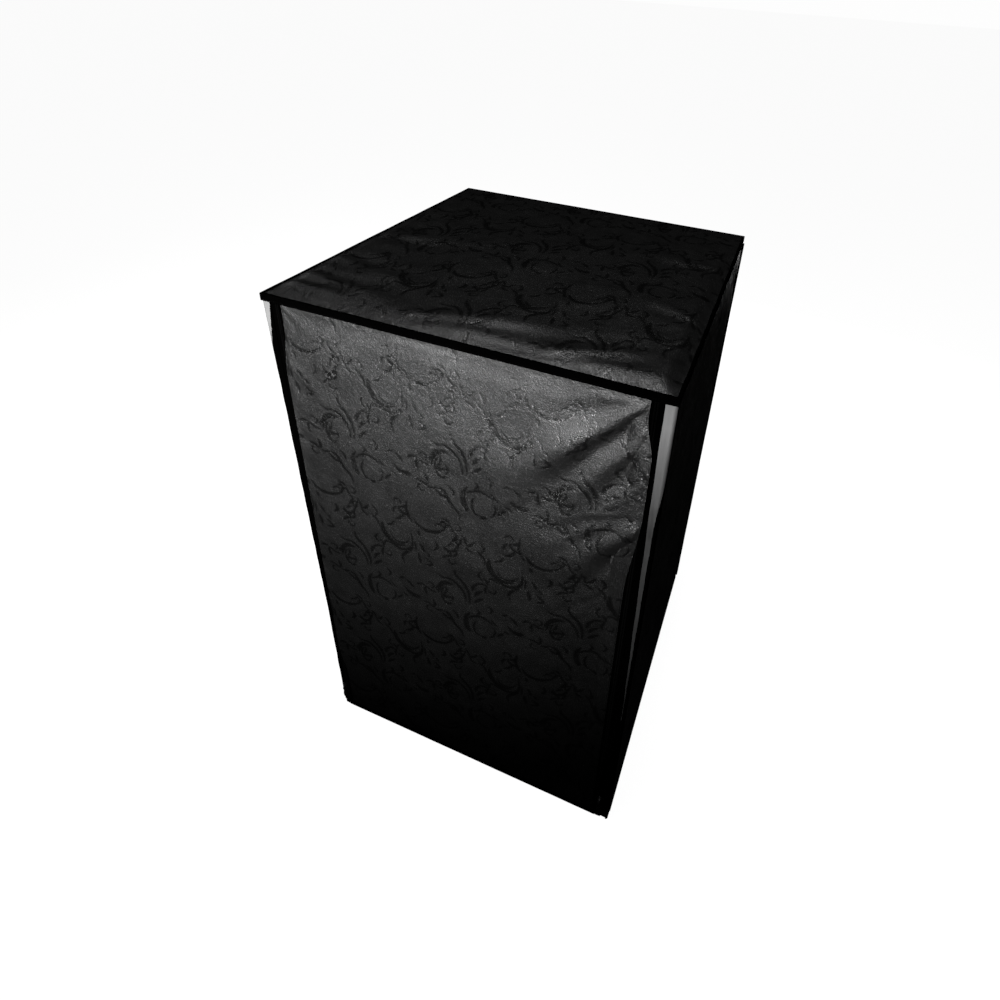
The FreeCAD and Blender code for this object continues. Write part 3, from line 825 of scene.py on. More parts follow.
def top_out(x, y):
    """How far the top stands up: it rolls down to the front binding, over 46 mm at the left and 25 at the
    right, and less to the other bindings."""
    band = 46 - 21 * smooth((x + 190) / 210) + 2 * np.sin(x / 47.0)
    from_edge = np.clip((y + HALF - 1.5) / band, 0, 1)
    front = (5.5 + 4.0 * smooth((x + 200) / 200)) * (1 - (1 - from_edge) ** 2)
    sides = fade(HALF - np.abs(x), 70) * fade(HALF - y, 70)
    rise = 1.2 * ripples(x, y, 5, 260, 110) * sides + folded(x, y, TOP_FOLDS)
    rise = rise + TOP_BELLY * (1 - (x / HALF) ** 2) * (1 - (y / HALF) ** 2)
    rise = rise + 0.10 * ripples(x, y, 6, 70, 26)
    rise = rise + 0.35 * ripples(x * 0.95 + y * 0.3, (y * 0.95 - x * 0.3) * 1.7, 15, 170, 70)
    rim = fade(HALF - np.abs(x), 14) * fade(HALF - np.abs(y), 14)
    rise = rise * rim + front * fade(HALF - np.abs(x), 26) * fade(HALF - y, 300)
    for seed, along, away in ((31, x, HALF - y), (32, x, HALF + y), (33, y, HALF - x), (34, y, HALF + x)):
        rise = rise + 0.3 * puckers(along, away - 3, seed, 13.0)
    return np.clip(rise, TOP_LEAST, TOP_MOST)


SIDE_FOLDS = (
    ((-262, 880), (-150, 730), 2.4, 6, 20, 5),
    ((-262, 780), (-170, 620), 2.2, 6, 20, 5),
    ((276, 884), (160, 760), 2.0, 6, 20, -5),
    ((276, 700), (190, 600), 1.6, 6, 18, -4),
    ((-262, 420), (-160, 330), 1.5, 6, 20, 4),
    ((276, 330), (170, 220), 1.5, 6, 20, -4),
    ((-60, 890), (-40, 700), 1.2, 8, 24, 6),
    ((80, 890), (110, 740), 1.2, 8, 24, 4),
    ((0, 20), (-20, 220), 1.2, 8, 26, 6),
)


def wall_out(u, z, seed, from_u, to_u):
    """A side or rear wall: a slack belly, folds from the corners, unevenness and sewn edges."""
    middle, half = (from_u + to_u) / 2, (to_u - from_u) / 2
    inner = fade(u - from_u, 36) * fade(to_u - u, 36) * fade(SIDE_TOP - z, 34) * fade(z - CLOTH_LOW, 40)
    up = np.sin(math.pi * np.clip((z - 14) / 884, 0, 1)) ** 0.8
    rise = WALL_BELLY * (1 - ((u - middle) / half) ** 2) * up
    rise = rise + folded(u, z, SIDE_FOLDS)
    rise = rise + 1.0 * ripples(u, z, seed, 220, 80) + 0.25 * ripples(u, z, seed + 1, 64, 24)
    rise = rise + 0.4 * ripples(u * 0.8 + z * 0.6, (z * 0.8 - u * 0.6) * 1.7, seed + 2, 160, 60)
    rise = rise * inner
    rise = rise + 0.45 * puckers(u, SIDE_TOP - 10 - z, seed + 3) + 0.4 * puckers(u, z - CLOTH_LOW, seed + 4)
    rise = rise + 0.4 * puckers(z, u - from_u, seed + 5) + 0.4 * puckers(z, to_u - u, seed + 6)
    return np.clip(rise, WALL_LEAST, WALL_MOST)


def pressed(points, across, up):
    """Presses the scroll pattern into a surface, and returns it with its normals and the pressed share."""
    share = sampled(PRESS, across, up)
    swell = sampled(SWELL, across, up)
    n = grid_normals(points)
    points = points + n * (SWELL_HIGH * swell - PRESS_DEEP * share)[..., None]
    return points, grid_normals(points), share


def embossed(name, node, body, surface, solid=None):
    """A piece of embossed cloth with its knitted lining, from what pressed() returns."""
    mesh = cloth_mesh(name, *surface, solid=solid)
    return done(link(name, mesh), body, "embossed_cloth", node)


def grid(us, vs):
    return np.meshgrid(us, vs, indexing="ij")


def middles(marks):
    """The middle of each of the lining's cells."""
    return (marks[:-COARSE:COARSE] + marks[COARSE::COARSE]) / 2


# How far apart the grid lines of each cloth are.
STEP_TOP, STEP_WALL, STEP_DOOR = ((1.9, 2.3, 1.7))


def build_top():
    edge = HALF - 0.6
    x, y = grid(lines(-edge, edge, step=STEP_TOP), lines(-edge, edge, step=STEP_TOP))
    surface = pressed(np.stack([x, y, TOP + top_out(x, y)], -1), x + 31.0, y + 77.0)
    return embossed("top_cloth", "top_panel", "tent", surface)


def build_side(sign):
    """The right wall (sign 1) or the left one (-1)."""
    name = "right" if sign > 0 else "left"
    run = (SIDE_FROM, REAR - 0.6)
    us = lines(*(run if sign > 0 else (-run[1], -run[0])), step=STEP_WALL)
    u, z = grid(us, lines(CLOTH_LOW, SIDE_TOP, step=STEP_WALL))
    y = u * sign
    out = wall_out(y, z, 40 if sign > 0 else 50, *run)
    surface = pressed(np.stack([sign * (HALF + out), y, z], -1), u + 90.0 * sign, z + 12.0)
    return embossed(f"{name}_cloth", f"{name}_panel", "tent", surface)


def build_rear():
    """The rear wall, with the cable slot cut through it. It meets the piping of both seams."""
    edge = high("rear_panel")[0] + 1.2
    slot_u = PORT_HIGH[0] - PORT_BAND
    slot_low, slot_high = PORT_LOW[2] + PORT_BAND, PORT_HIGH[2] - PORT_BAND
    us = lines(-edge, -slot_u, slot_u, edge, step=STEP_WALL)
    vs = lines(CLOTH_LOW, slot_low, slot_high, SIDE_TOP, step=STEP_WALL)
    u, z = grid(us, vs)
    mid_u, mid_v = middles(us), middles(vs)
    solid = ~((np.abs(mid_u) < slot_u)[:, None] & ((mid_v > slot_low) & (mid_v < slot_high))[None, :])
    from_port = np.hypot(np.clip(np.abs(u) - 60, 0, None), np.clip(np.abs(z - 92) - 46, 0, None))
    out = wall_out(-u, z, 60, -edge, edge) * smooth(from_port / 60)
    surface = pressed(np.stack([-u, REAR + out, z], -1), u + 14.0, z + 40.0)
    return embossed("rear_cloth", "rear_panel", "tent", surface, solid)


LAP_LEFT, LAP_RIGHT = 7.5, 11.0  # how far the door's edges lap over the zips
STAND_LEFT, STAND_RIGHT = 0.34, 0.26  # how far they stand off there, for each millimetre of lap


def overlap(x, z):
    """How far a point of the door is carried over the nearer zip, and how far it stands off."""
    left = LAP_LEFT * smooth((z - 100) / 90) * smooth((866 - z) / 90)
    right = LAP_RIGHT * smooth((z - 575) / 150) * smooth((866 - z) / 60)
    near_left, near_right = smooth((-x - 190) / (DOOR_HALF - 190)), smooth((x - 190) / (DOOR_HALF - 190))
    off = STAND_LEFT * left * near_left**3 + STAND_RIGHT * right * near_right**3
    return right * near_right - left * near_left, off


def build_door():
    """The door is one cloth, made as one surface and cut in two rows, one for each half of the door."""
    us = lines(-DOOR_HALF, DOOR_HALF, step=STEP_DOOR)
    vs = lines(DOOR_LOW, DOOR_SPLIT, CLOTH_TOP, step=STEP_DOOR)
    u, v = grid(us, vs)
    beyond, off = overlap(u, v)
    surface = pressed(np.stack([u + beyond, FRONT - door_out(u, v) - off, v], -1), u + 188.0, v - 377.0)
    cut = int(np.argmin(np.abs(vs - DOOR_SPLIT)))
    upper, lower = [part[:, cut:] for part in surface], [part[:, : cut + 1] for part in surface]
    return (embossed("door_cloth_upper", "door_upper", bend_upper, upper),
            embossed("door_cloth_lower", "door_lower", bend_lower, lower))


def bend_upper(obj):
    """A piece of the door's upper half, which is sewn to the tent at its top edge: its placement is baked
    into its mesh.
    """
    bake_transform(obj)


def bend_lower(obj):
    """A piece of the door's lower half, which is joined to the upper one: its placement is baked into its
    mesh.
    """
    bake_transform(obj)


# ---- the smooth facings round the front corners
# Heights up the right facing, and how far from the middle its front edge shows at each.
EDGE_Z = [0, 330, 503, 655, 733, 835, 900]
EDGE_X = [275.8, 275.0, 271.5, 269, 267.5, 266.5, 266.0]


def facing_shape(sign, z):
    """Where the strip starts, how round its corner is, how far it sinks in, and how far its edge stands out.
    The left one hangs looser lower down."""
    if sign > 0:
        start = np.interp(z, EDGE_Z, EDGE_X) + 0.25 * np.sin(z / 17.0)
        proud = 1.5 * smooth((z - 480) / 220) * smooth((886 - z) / 50)
        return start, 3.6 + 0 * z, 0 * z, proud
    loose = np.clip((880 - z) / 600, 0, 1)
    return 267.0 - 3.0 * loose, 3.0 + 4.0 * loose, 3.4 * loose, 0 * z


def shows_pale(sign, x, z, past):
    """Where the strip's pale face shows: not where it turns the corner or slips behind the zip. Lower down it
    narrows and ends, and the black tape there is partly painted shade where the strip turns away from the
    light.
    """
    if sign > 0:
        return (past < 0.5) & (z > 300) & (x < HALF + 0.5 - 5.0 * smooth((790 - z) / 90))
    return (past < 0.5) & (x > 267.5 + (893 - z) * 0.14)


def build_facing(sign):
    """A strip of smooth cloth from the zip round the front corner to the side wall."""
    name = "facing_right" if sign > 0 else "facing_left"
    t, z = grid(np.linspace(0, 1, 45), lines(low(name)[2], high(name)[2] + 0.8, step=3.0))
    start, radius, sunk, proud = facing_shape(sign, z)
    front_run = np.maximum(HALF - sunk - radius - start, 0.2)
    side_run = HALF + SIDE_FROM - sunk - radius
    arc = radius * math.pi / 2
    d = t * (front_run + arc + side_run)
    turn = np.clip((d - front_run) / arc, 0, 1) * math.pi / 2
    past = np.clip(d - front_run - arc, 0, None)
    wobble = 0.25 * ripples(z, z * 0, 70 + sign, 120, 30) * smooth((d - 1.0) / 6) * smooth(1 - past / 8)
    lift = proud * smooth(d / front_run) * smooth(1 - (d - front_run) / (arc + 6))
    x = start + np.minimum(d, front_run) + radius * np.sin(turn) + wobble * np.sin(turn) * 0.6
    x = x + sunk * smooth(past / side_run)
    y = FRONT + sunk + radius * (1 - np.cos(turn)) + past - wobble * np.cos(turn) * 0.6 - lift
    points, pale = np.stack([x * sign, y, z], -1), shows_pale(sign, x, z, past)
    if sign < 0:
        points, pale = points[::-1], pale[::-1]
    mesh = cloth_mesh(name, points, grid_normals(points), np.zeros_like(x), thick=0.8)
    black_return(mesh, pale)
    return done(link(name + "_cloth", mesh), "tent", "facing_cloth", name)


def black_return(mesh, pale):
    """Gives the outer faces their materials: 0 where the pale face shows, 2, black, elsewhere and on rims."""
    slots = np.zeros(len(mesh.polygons), np.int32)
    mesh.polygons.foreach_get("material_index", slots)
    cells = (pale.shape[0] - 1) * (pale.shape[1] - 1)
    slots[:cells] = np.where(pale[:-1, :-1].ravel(), 0, 2)
    slots[(slots == 0) & (np.arange(len(slots)) >= cells)] = 2
    mesh.polygons.foreach_set("material_index", slots)


# ---- bindings, seams, hems and stitches
def sway(seed, amount, waves=9):
    """A slight sideways waver for sweep(): five waves, the same on every run."""
    rng = np.random.default_rng(seed)
    f, p = rng.uniform(1, waves, 5), rng.uniform(0, math.tau, 5)
    return lambda t: (amount * float(np.sum(np.sin(math.tau * f * t + p))) / 3, 0.0)


STITCH_PITCH, STITCH_LONG, STITCH_THICK = 3.4, 2.3, 0.55


def stitch_row(start, end):
    """The middle of every stitch of a row from start to end."""
    start, end = np.array(start, float), np.array(end, float)
    count = int(np.linalg.norm(end - start) / STITCH_PITCH)
    t = (np.arange(count) + 0.5) / count
    return start + (end - start) * t[:, None]


def sewn(name, body, slot_name, axis, *rows):
    """One piece of thread made of rows of stitches that lie along an axis (0 X, 1 Y, 2 Z)."""
    size = [STITCH_THICK] * 3
    size[axis] = STITCH_LONG
    places = np.concatenate([stitch_row(start, end) for start, end in rows])
    return done(link(name, copies(name, capsule(size, 6, 4), places)), body, slot_name, material=THREAD)


BINDING_SHORT = (1.2, 2.2)  # how much shorter than its edge each end of a binding is, along X and along Y


def build_top_bindings():
    """Folded tape over the four top edges: a lap on the top, a leg down the wall, a rolled edge between."""
    lo, hi = span("top_binding_front")
    leg, lap = hi[2] - lo[2] - 2.5, 4.6
    x1 = high("top_binding_right")[0]
    y0, y1 = lo[1], high("top_binding_rear")[1]
    outline = [(-0.6, -0.7), (-0.6, -leg), (-1.7, -leg), (-1.9, -2.1), (-lap, -1.8), (-lap, -0.7)]
    profile = rounded(outline, 1.2, 4)
    rows = {0: [], 1: []}
    for name, start, end, out, axis, seed in (
        ("front", (-x1, y0, hi[2]), (x1, y0, hi[2]), (0, -1, 0), 0, 1),
        ("rear", (x1, y1, hi[2]), (-x1, y1, hi[2]), (0, 1, 0), 0, 2),
        ("left", (-x1, y1, hi[2]), (-x1, y0, hi[2]), (-1, 0, 0), 1, 3),
        ("right", (x1, y0, hi[2]), (x1, y1, hi[2]), (1, 0, 0), 1, 4),
    ):
        a, b = np.array(start, float), np.array(end, float)
        short = (b - a) / np.linalg.norm(b - a) * BINDING_SHORT[axis]
        a, b = a + short, b - short
        band(f"binding_top_{name}", [(profile, a, b, out, (0, 0, 1), 120, sway(seed, 0.28))],
             "tent", "binding_tape", f"top_binding_{name}")
        down = a - np.array(out, float) * 0.58 + np.array([0, 0, -leg + 2.6])
        rows[axis].append((down, down + (b - a)))
    sewn("top_binding_stitches_x", "tent", "binding_tape", 0, *rows[0])
    sewn("top_binding_stitches_y", "tent", "binding_tape", 1, *rows[1])


def build_rear_seams():
    """A piped seam down each rear corner: a cord with its cloth wrapped round it."""
    for sign, name in ((-1, "rear_seam_left"), (1, "rear_seam_right")):
        lo, hi = span(name)
        cx, cy, r = (lo[0] + hi[0]) / 2, (lo[1] + hi[1]) / 2, (hi[0] - lo[0]) / 2
        turn = np.linspace(0, math.tau, 17)[:-1]
        profile = np.stack([r * np.cos(turn), r * np.sin(turn)], 1)
        bend = sway(12 + sign, 0.12, 14)
        vertices, faces = sweep(profile, (cx, cy, lo[2]), (cx, cy, hi[2]), (1, 0, 0), (0, 1, 0), 260, bend)
        swell = 1 + 0.05 * np.sin(vertices[:, 2] * math.tau / STITCH_PITCH)
        vertices[:, 0] = cx + (vertices[:, 0] - cx) * swell
        vertices[:, 1] = cy + (vertices[:, 1] - cy) * swell
        obj = link(f"piping_{name}", merged(name, [(vertices, faces)]))
        done(obj, "tent", "binding_tape", name)
        lip = rounded([(0, 0), (-7, 0), (-7, 0.7), (0, 0.7)], 0.3, 2)
        x, y = sign * (HALF + 0.1), REAR - 1.0
        band(f"piping_flange_{name}",
             [(lip, (x, y, lo[2]), (x, y, hi[2]), (0, 1, 0), (sign, 0, 0), 60, sway(16 + sign, 0.2))],
             "tent", "binding_tape")
        x, y = sign * (HALF + 0.85), REAR - 4.6
        sewn(f"{name}_stitches", "tent", "binding_tape", 2, ((x, y, lo[2] + 3), (x, y, hi[2] - 3)))


def hem_profile(height, thick):
    """A turned hem: a thin band that is fuller at its folded lower edge."""
    return rounded([(0, 0), (height, 0), (height, thick * 0.55), (2.4, thick * 0.8), (0, thick)], 0.7, 3)


def build_hems():
    """A turned and stitched band along the foot of each wall and of the door."""
    for name, body, out, axis in (
        ("hem_left", "tent", (-1, 0, 0), 1),
        ("hem_right", "tent", (1, 0, 0), 1),
        ("hem_rear", "tent", (0, 1, 0), 0),
        ("hem_door", "door_lower_half", (0, -1, 0), 0),
    ):
        lo, hi = span(name)
        outv = np.array(out, float)
        thick = float(np.min(hi - lo))
        a, b = lo.copy(), hi.copy()
        a[2] = b[2] = lo[2]
        k = 1 - axis
        a[k] = b[k] = (hi if outv[k] > 0 else lo)[k] - outv[k] * thick
        profile = hem_profile(hi[2] - lo[2], thick)
        band(f"{name}_band", [(profile, a, b, (0, 0, 1), outv, 110, sway(len(name), 0.12))],
             body, "binding_tape", name)
        s, e = a + outv * thick * 0.62, b + outv * thick * 0.62
        s[2] = e[2] = hi[2] - 2.2
        sewn(f"{name}_stitches", body, "binding_tape", axis, (s, e))


# ---- zips
def zip_run(node):
    """A zip strip's box: the door halves part where the cloth does, and the top is under the binding."""
    lo, hi = span(node)
    if "_upper_" in node:
        lo[2] = DOOR_SPLIT
    if "_lower_" in node:
        hi[2] = DOOR_SPLIT
    if hi[2] > DOOR_TOP - 1:
        hi[2] = CLOTH_TOP
    return lo, hi


def tape_piece(node, name, attach, reach=None, foot=None):
    """Woven tape: a thin band with a raised cord line and a selvedge, which may reach further out or down."""
    lo, hi = zip_run(node)
    sign = 1 if hi[0] > 0 else -1
    inner, outer = sorted((abs(lo[0]), abs(hi[0])))
    w, t = (reach or outer) - inner, hi[1] - lo[1]
    outline = rounded([(0, 0), (w, 0), (w, -t), (w - 1, -t), (w * 0.5, -t * 0.8), (1, -t), (0, -t)], 0.22, 2)
    run = (outline, (sign * inner, hi[1], foot or lo[2]), (sign * inner, hi[1], hi[2]))
    band(name, [(*run, (sign, 0, 0), (0, 1, 0), 90)], attach, "zip_tape", node)


COIL_PITCH, COIL_LOOP = 1.5, 1.08


def coil_piece(node, name, attach, shift):
    """Half a nylon coil: one soft loop each pitch."""
    lo, hi = zip_run(node)
    middle = (lo + hi) / 2
    count = int((hi[2] - lo[2] - 1.2) / COIL_PITCH)
    z = lo[2] + 0.7 + shift + np.arange(count) * COIL_PITCH
    places = np.stack([np.full(count, middle[0]), np.full(count, middle[1]), z], 1)
    tooth = capsule((hi[0] - lo[0], hi[1] - lo[1], COIL_LOOP), 8, 5)
    done(link(name, copies(name, tooth, places)), attach, "zip_coil", node)


def build_guard(side, sign):
    """A draught strip behind each zip, sewn to the side half, which closes the gap between the coils."""
    wide, thick = 20.0, 0.5
    x, y = sign * (DOOR_HALF - 3.0), high(f"zip_side_tape_{side}")[1] + 0.15
    outline = rounded([(0, 0), (wide, 0), (wide, thick), (0, thick)], 0.2, 2)
    run = (outline, (x, y, 1.8), (x, y, CLOTH_TOP), (sign, 0, 0), (0, 1, 0), 80, sway(30 + sign, 0.3))
    band(f"zip_guard_{side}", [run], "tent", "zip_tape")


STOP_OUTER = 266.4


def build_end_stop(side, sign):
    """The folded tab that finishes each zip at the hem."""
    lo, hi = span("hem_door")
    inner = hi[0] + 0.1
    w, y = STOP_OUTER - inner, hi[1] + 0.3
    outline = rounded([(0, 0), (w, 0), (w, 1.9), (1.2, 2.3), (0, 1.6)], 0.5, 3)
    run = (outline, (sign * inner, y, lo[2]), (sign * inner, y, hi[2] + 9), (sign, 0, 0), (0, -1, 0), 24)
    band(f"zip_end_stop_{side}", [(*run, sway(44 + sign, 0.1))], "tent", "zip_tape")


TAPE_REACH = {"left": 268.0, "right": 276.6}  # how far out each side tape goes, behind its facing


def build_zips():
    """Both zips: tapes and coils on the tent and on both halves of the door, the guard and the end stop."""
    for side, sign in (("left", -1), ("right", 1)):
        reach, foot = TAPE_REACH[side], low("hem_door")[2]
        tape_piece(f"zip_side_tape_{side}", f"zip_tape_side_{side}", "tent", reach, foot)
        coil_piece(f"zip_side_coil_{side}", f"zip_coil_side_{side}", "tent", 0.0)
        build_guard(side, sign)
        build_end_stop(side, sign)
        x, y = sign * (DOOR_HALF - 1.6), FRONT - 0.12
        for part, bend in (("upper", bend_upper), ("lower", bend_lower)):
            node = f"zip_door_tape_{part}_{side}"
            tape_piece(node, f"zip_tape_door_{part}_{side}", bend)
            coil_piece(f"zip_door_coil_{part}_{side}", f"zip_coil_door_{part}_{side}", bend, 0.4)
            lo, hi = zip_run(node)
            sewn(f"door_{part}_stitches_{side}", bend, "zip_tape", 2, ((x, y, lo[2] + 3), (x, y, hi[2] - 3)))


def plate(outline, y0, y1, bevel=0.35):
    """A mesh: an outline in X and Z given a thickness in Y, with soft edges."""
    bm = bmesh.new()
    face = bm.faces.new([bm.verts.new((x * MM, y0 * MM, z * MM)) for x, z in outline])
    made = bmesh.ops.extrude_face_region(bm, geom=[face])
    for v in [g for g in made["geom"] if isinstance(g, bmesh.types.BMVert)]:
        v.co.y = y1 * MM
    bmesh.ops.recalc_face_normals(bm, faces=bm.faces)
    edges = [e for e in bm.edges if e.is_manifold and e.calc_face_angle(0) > 0.9]
    bmesh.ops.bevel(bm, geom=edges, offset=bevel * MM, segments=3, profile=0.6, affect="EDGES",
                    clamp_overlap=True)
    mesh = bpy.data.meshes.new("plate")
    bm.to_mesh(mesh)
    bm.free()
    mesh.shade_smooth()
    return mesh


def box_outline(x, half, z0, z1, radius, steps):
    """A rounded rectangle about x, from z0 up to z1."""
    return rounded([(x - half, z0), (x + half, z0), (x + half, z1), (x - half, z1)], radius, steps)


def joined(name, meshes):
    """One piece from several meshes."""
    bm = bmesh.new()
    for mesh in meshes:
        bm.from_mesh(mesh)
    mesh = bpy.data.meshes.new(name)
    bm.to_mesh(mesh)
    bm.free()
    mesh.shade_smooth()
    return link(name, mesh)


# Half of a slider's outline, as shares of its width and height, and its layers from front to back, in Y.
SLIDER_HALF = [(0.30, 0.0), (0.40, 0.18), (0.40, 0.52), (0.5, 0.72), (0.44, 0.94), (0.22, 1.0)]
SLIDER_FRONT, SLIDER_BACK, SLIDER_CORE = (-282.6, -281.4), (-279.9, -278.95), (-281.6, -279.7)
SLIDER_WALLS = (-281.7, -280.5)
BAIL_FOOT = -282.3


def slider_body(node):
    """A slider: two flanged plates, a nose, and a bail for the pull."""
    lo, hi = span(node)
    cx, w, h = (lo[0] + hi[0]) / 2, hi[0] - lo[0], hi[2] - lo[2]
    z0, z1, mid = lo[2], hi[2], (lo[2] + hi[2]) / 2
    shape = [(-0.30, 0.0)] + SLIDER_HALF + [(-a, b) for a, b in SLIDER_HALF[:0:-1]]
    outline = rounded([(cx + a * w, z0 + b * h) for a, b in shape], 1.4, 3)
    core = rounded([(cx - 0.9, mid), (cx + 0.9, mid), (cx + 1.6, z1 - 0.8), (cx - 1.6, z1 - 0.8)], 0.6, 2)
    parts = [plate(outline, *SLIDER_FRONT), plate(outline, *SLIDER_BACK), plate(core, *SLIDER_CORE, 0.1)]
    for x in (cx - 0.40 * w, cx + 0.40 * w):
        parts.append(plate(box_outline(x, 0.45, z0 + 1.2, mid + 1, 0.2, 2), *SLIDER_WALLS, 0.1))
    return joined(node + "_body", [*parts, bail(cx, z0 + 2.6, z1 - 2.6, lo[1] + 0.1)])


def bail(cx, z_low, z_high, y_out):
    """The bridge that holds the pull: a flat strap arched over the slider's front plate."""
    steps, half_wide, half_thick = 14, 1.3, 0.5
    middle, reach, rise = (z_low + z_high) / 2, (z_high - z_low) / 2, BAIL_FOOT - y_out - 0.6
    rows = []
    for a in np.linspace(0, math.pi, steps + 1):
        z, y = middle - reach * math.cos(a) ** 3, BAIL_FOOT - rise * math.sin(a) ** 0.6
        normal = np.array([0, -math.sin(a), -math.cos(a) * 0.6])
        normal = normal / np.linalg.norm(normal)
        for sx, sn in ((-1, -1), (1, -1), (1, 1), (-1, 1)):
            rows.append(np.array([cx + sx * half_wide, y, z]) + normal * sn * half_thick)
    last = 4 * steps
    faces = [[0, 3, 2, 1], [last, last + 1, last + 2, last + 3]] + tube_faces(steps, 4)
    mesh = merged("bail", [(np.array(rows), faces)])
    bm = bmesh.new()
    bm.from_mesh(mesh)
    bmesh.ops.recalc_face_normals(bm, faces=bm.faces)
    bm.to_mesh(mesh)
    bm.free()
    return mesh


def pull_tab(node):
    """A tapered tab with a slot for the bail and a pressed grip with ribs."""
    lo, hi = span(node)
    cx, w = (lo[0] + hi[0]) / 2, hi[0] - lo[0]
    top, bottom = hi[2], lo[2]
    y0, y1 = hi[1] - 0.25, lo[1] + 0.25
    half = [(0.30, top), (0.34, top - 5.5), (0.26, top - 8.5), (0.5, bottom + 6), (0.36, bottom)]
    head = [(-0.30, top)] + half + [(-a, z) for a, z in half[:0:-1]]
    parts = [plate(rounded([(cx + a * w, z) for a, z in head], 1.8, 4), y0, y1, 0.3)]
    parts.append(plate(box_outline(cx, 1.7, top - 4.8, top - 0.9, 0.9, 3), y1 + 0.1, y1 - 0.2, 0.12))
    for k in range(5):
        z = bottom + 3.4 + 2.0 * k
        parts.append(plate(box_outline(cx, 0.30 * w, z - 0.4, z + 0.4, 0.3, 2), y1 + 0.1, y1 - 0.22, 0.1))
    return joined(node + "_tab", parts)


def build_sliders():
    for side in ("left", "right"):
        for make, node, body in ((slider_body, f"zip_slider_{side}", f"slider_{side}"),
                                 (pull_tab, f"zip_pull_{side}", f"pull_{side}")):
            done(make(node), body, "zip_metal", node, sharp=METAL_SHARP)


# ---- the cable port at the rear
def flat_cloth(node, body, sag, seed):
    """A small rectangle of embossed cloth that faces the rear."""
    lo, hi = span(node)
    us, vs = lines(-hi[0], -lo[0], step=2.0), lines(lo[2], hi[2], step=2.0)
    u, v = grid(us, vs)
    edge = np.minimum(np.minimum(u - us[0], us[-1] - u), np.minimum(v - vs[0], vs[-1] - v))
    out = sag * ripples(u, v, seed, 60, 22) * fade(edge, 10)
    y = hi[1] + out - CLOTH * (1 - fade(edge, 1.6))
    return embossed(f"{node}_cloth", node, body, pressed(np.stack([-u, y, v], -1), u + 5.0, v + 60.0))


def build_port():
    """The bound slot, its flap and header, and the hook and loop strips that close it."""
    lo, hi = PORT_LOW, PORT_HIGH
    x, y, z0, z1 = hi[0], lo[1], lo[2], hi[2]
    a, b = z0 + PORT_BAND, z1 - PORT_BAND
    ring = rounded([(0, 0), (PORT_BAND, 0), (PORT_BAND, 0.9), (PORT_BAND * 0.5, 1.05), (0, 0.9)], 0.4, 2)
    bars = [(ring, (-x, y, z0), (x, y, z0), (0, 0, 1), (0, 1, 0), 30),
            (ring, (-x, y, z1), (x, y, z1), (0, 0, -1), (0, 1, 0), 30),
            (ring, (-x, y, a), (-x, y, b), (1, 0, 0), (0, 1, 0), 16),
            (ring, (x, y, a), (x, y, b), (-1, 0, 0), (0, 1, 0), 16)]
    band("port_binding_tape", bars, "tent", "binding_tape", "port_binding")
    flap = flat_cloth("port_flap", "port_flap_body", 0.4, 80)
    head = flat_cloth("port_flap_header", "tent", 0.1, 82)
    lo, hi = span("port_flap_header")
    rows = [((lo[0] + 3, hi[1] + 0.1, z), (hi[0] - 3, hi[1] + 0.1, z)) for z in (lo[2] + 2.5, hi[2] - 2.5)]
    sewn("port_header_stitches", "tent", "binding_tape", 0, *rows)
    lo, hi = span("port_flap")
    row = (lo[0] + 3, hi[1] + 0.1, lo[2] + 3), (hi[0] - 3, hi[1] + 0.1, lo[2] + 3)
    sewn("port_flap_stitches", "port_flap_body", "embossed_cloth", 0, row)
    for kind, body, material in (("loop", "tent", LOOP), ("hook", "port_flap_body", HOOK)):
        node = f"port_{kind}_strip"
        lo, hi = span(node)
        wide, thick = hi[2] - lo[2], hi[1] - lo[1]
        outline = rounded([(0, 0), (wide, 0), (wide, thick), (0, thick)], 0.4, 2)
        run = (outline, lo, (hi[0], lo[1], lo[2]), (0, 0, 1), (0, 1, 0), 40, sway(7, 0.1))
        band(f"port_{kind}_tape", [run], body, "hook_and_loop", node, material=material)
    return flap, head


# ---- the frame's own materials
def dress_frame():
    """CAD tubes, connectors and feet keep their shape and take a real finish; moulded edges are softened."""
    slots = {s["node"]: s["material_slot"] for s in frame["record"]["subparts"]}
    for name, obj in frame["nodes"].items():
        material = FRAME_FINISHES.get(slots[name])
        if material is None or obj.hide_render:
            continue
        obj.data.materials.clear()
        obj.data.materials.append(material)
        if slots[name] != "frame_tube":
            bevel = obj.modifiers.new("soft edges", "BEVEL")
            bevel.width, bevel.segments, bevel.limit_method = 0.8 * MM, 2, "ANGLE"
            bevel.angle_limit = math.radians(35)


def build_all():
    top = build_top()
    right, left = build_side(1), build_side(-1)
    rear = build_rear()
    upper, lower = build_door()
    facings = [build_facing(1), build_facing(-1)]
    build_top_bindings()
    build_rear_seams()
    build_hems()
    build_zips()
    build_sliders()
    flap, head = build_port()
    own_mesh(top)
    dress_frame()


# ---- floor, light and camera
FLOOR_FAR = 80  # metres from the middle to the floor's edges
# the floor's glow in the open, and the lower glow that paints shade under the tent
FLOOR_BRIGHT, FLOOR_PAINTED_SHADE = 0.96, 0.22
SHADE_EDGE = 0.05  # metres over which the floor darkens, under the tent's walls


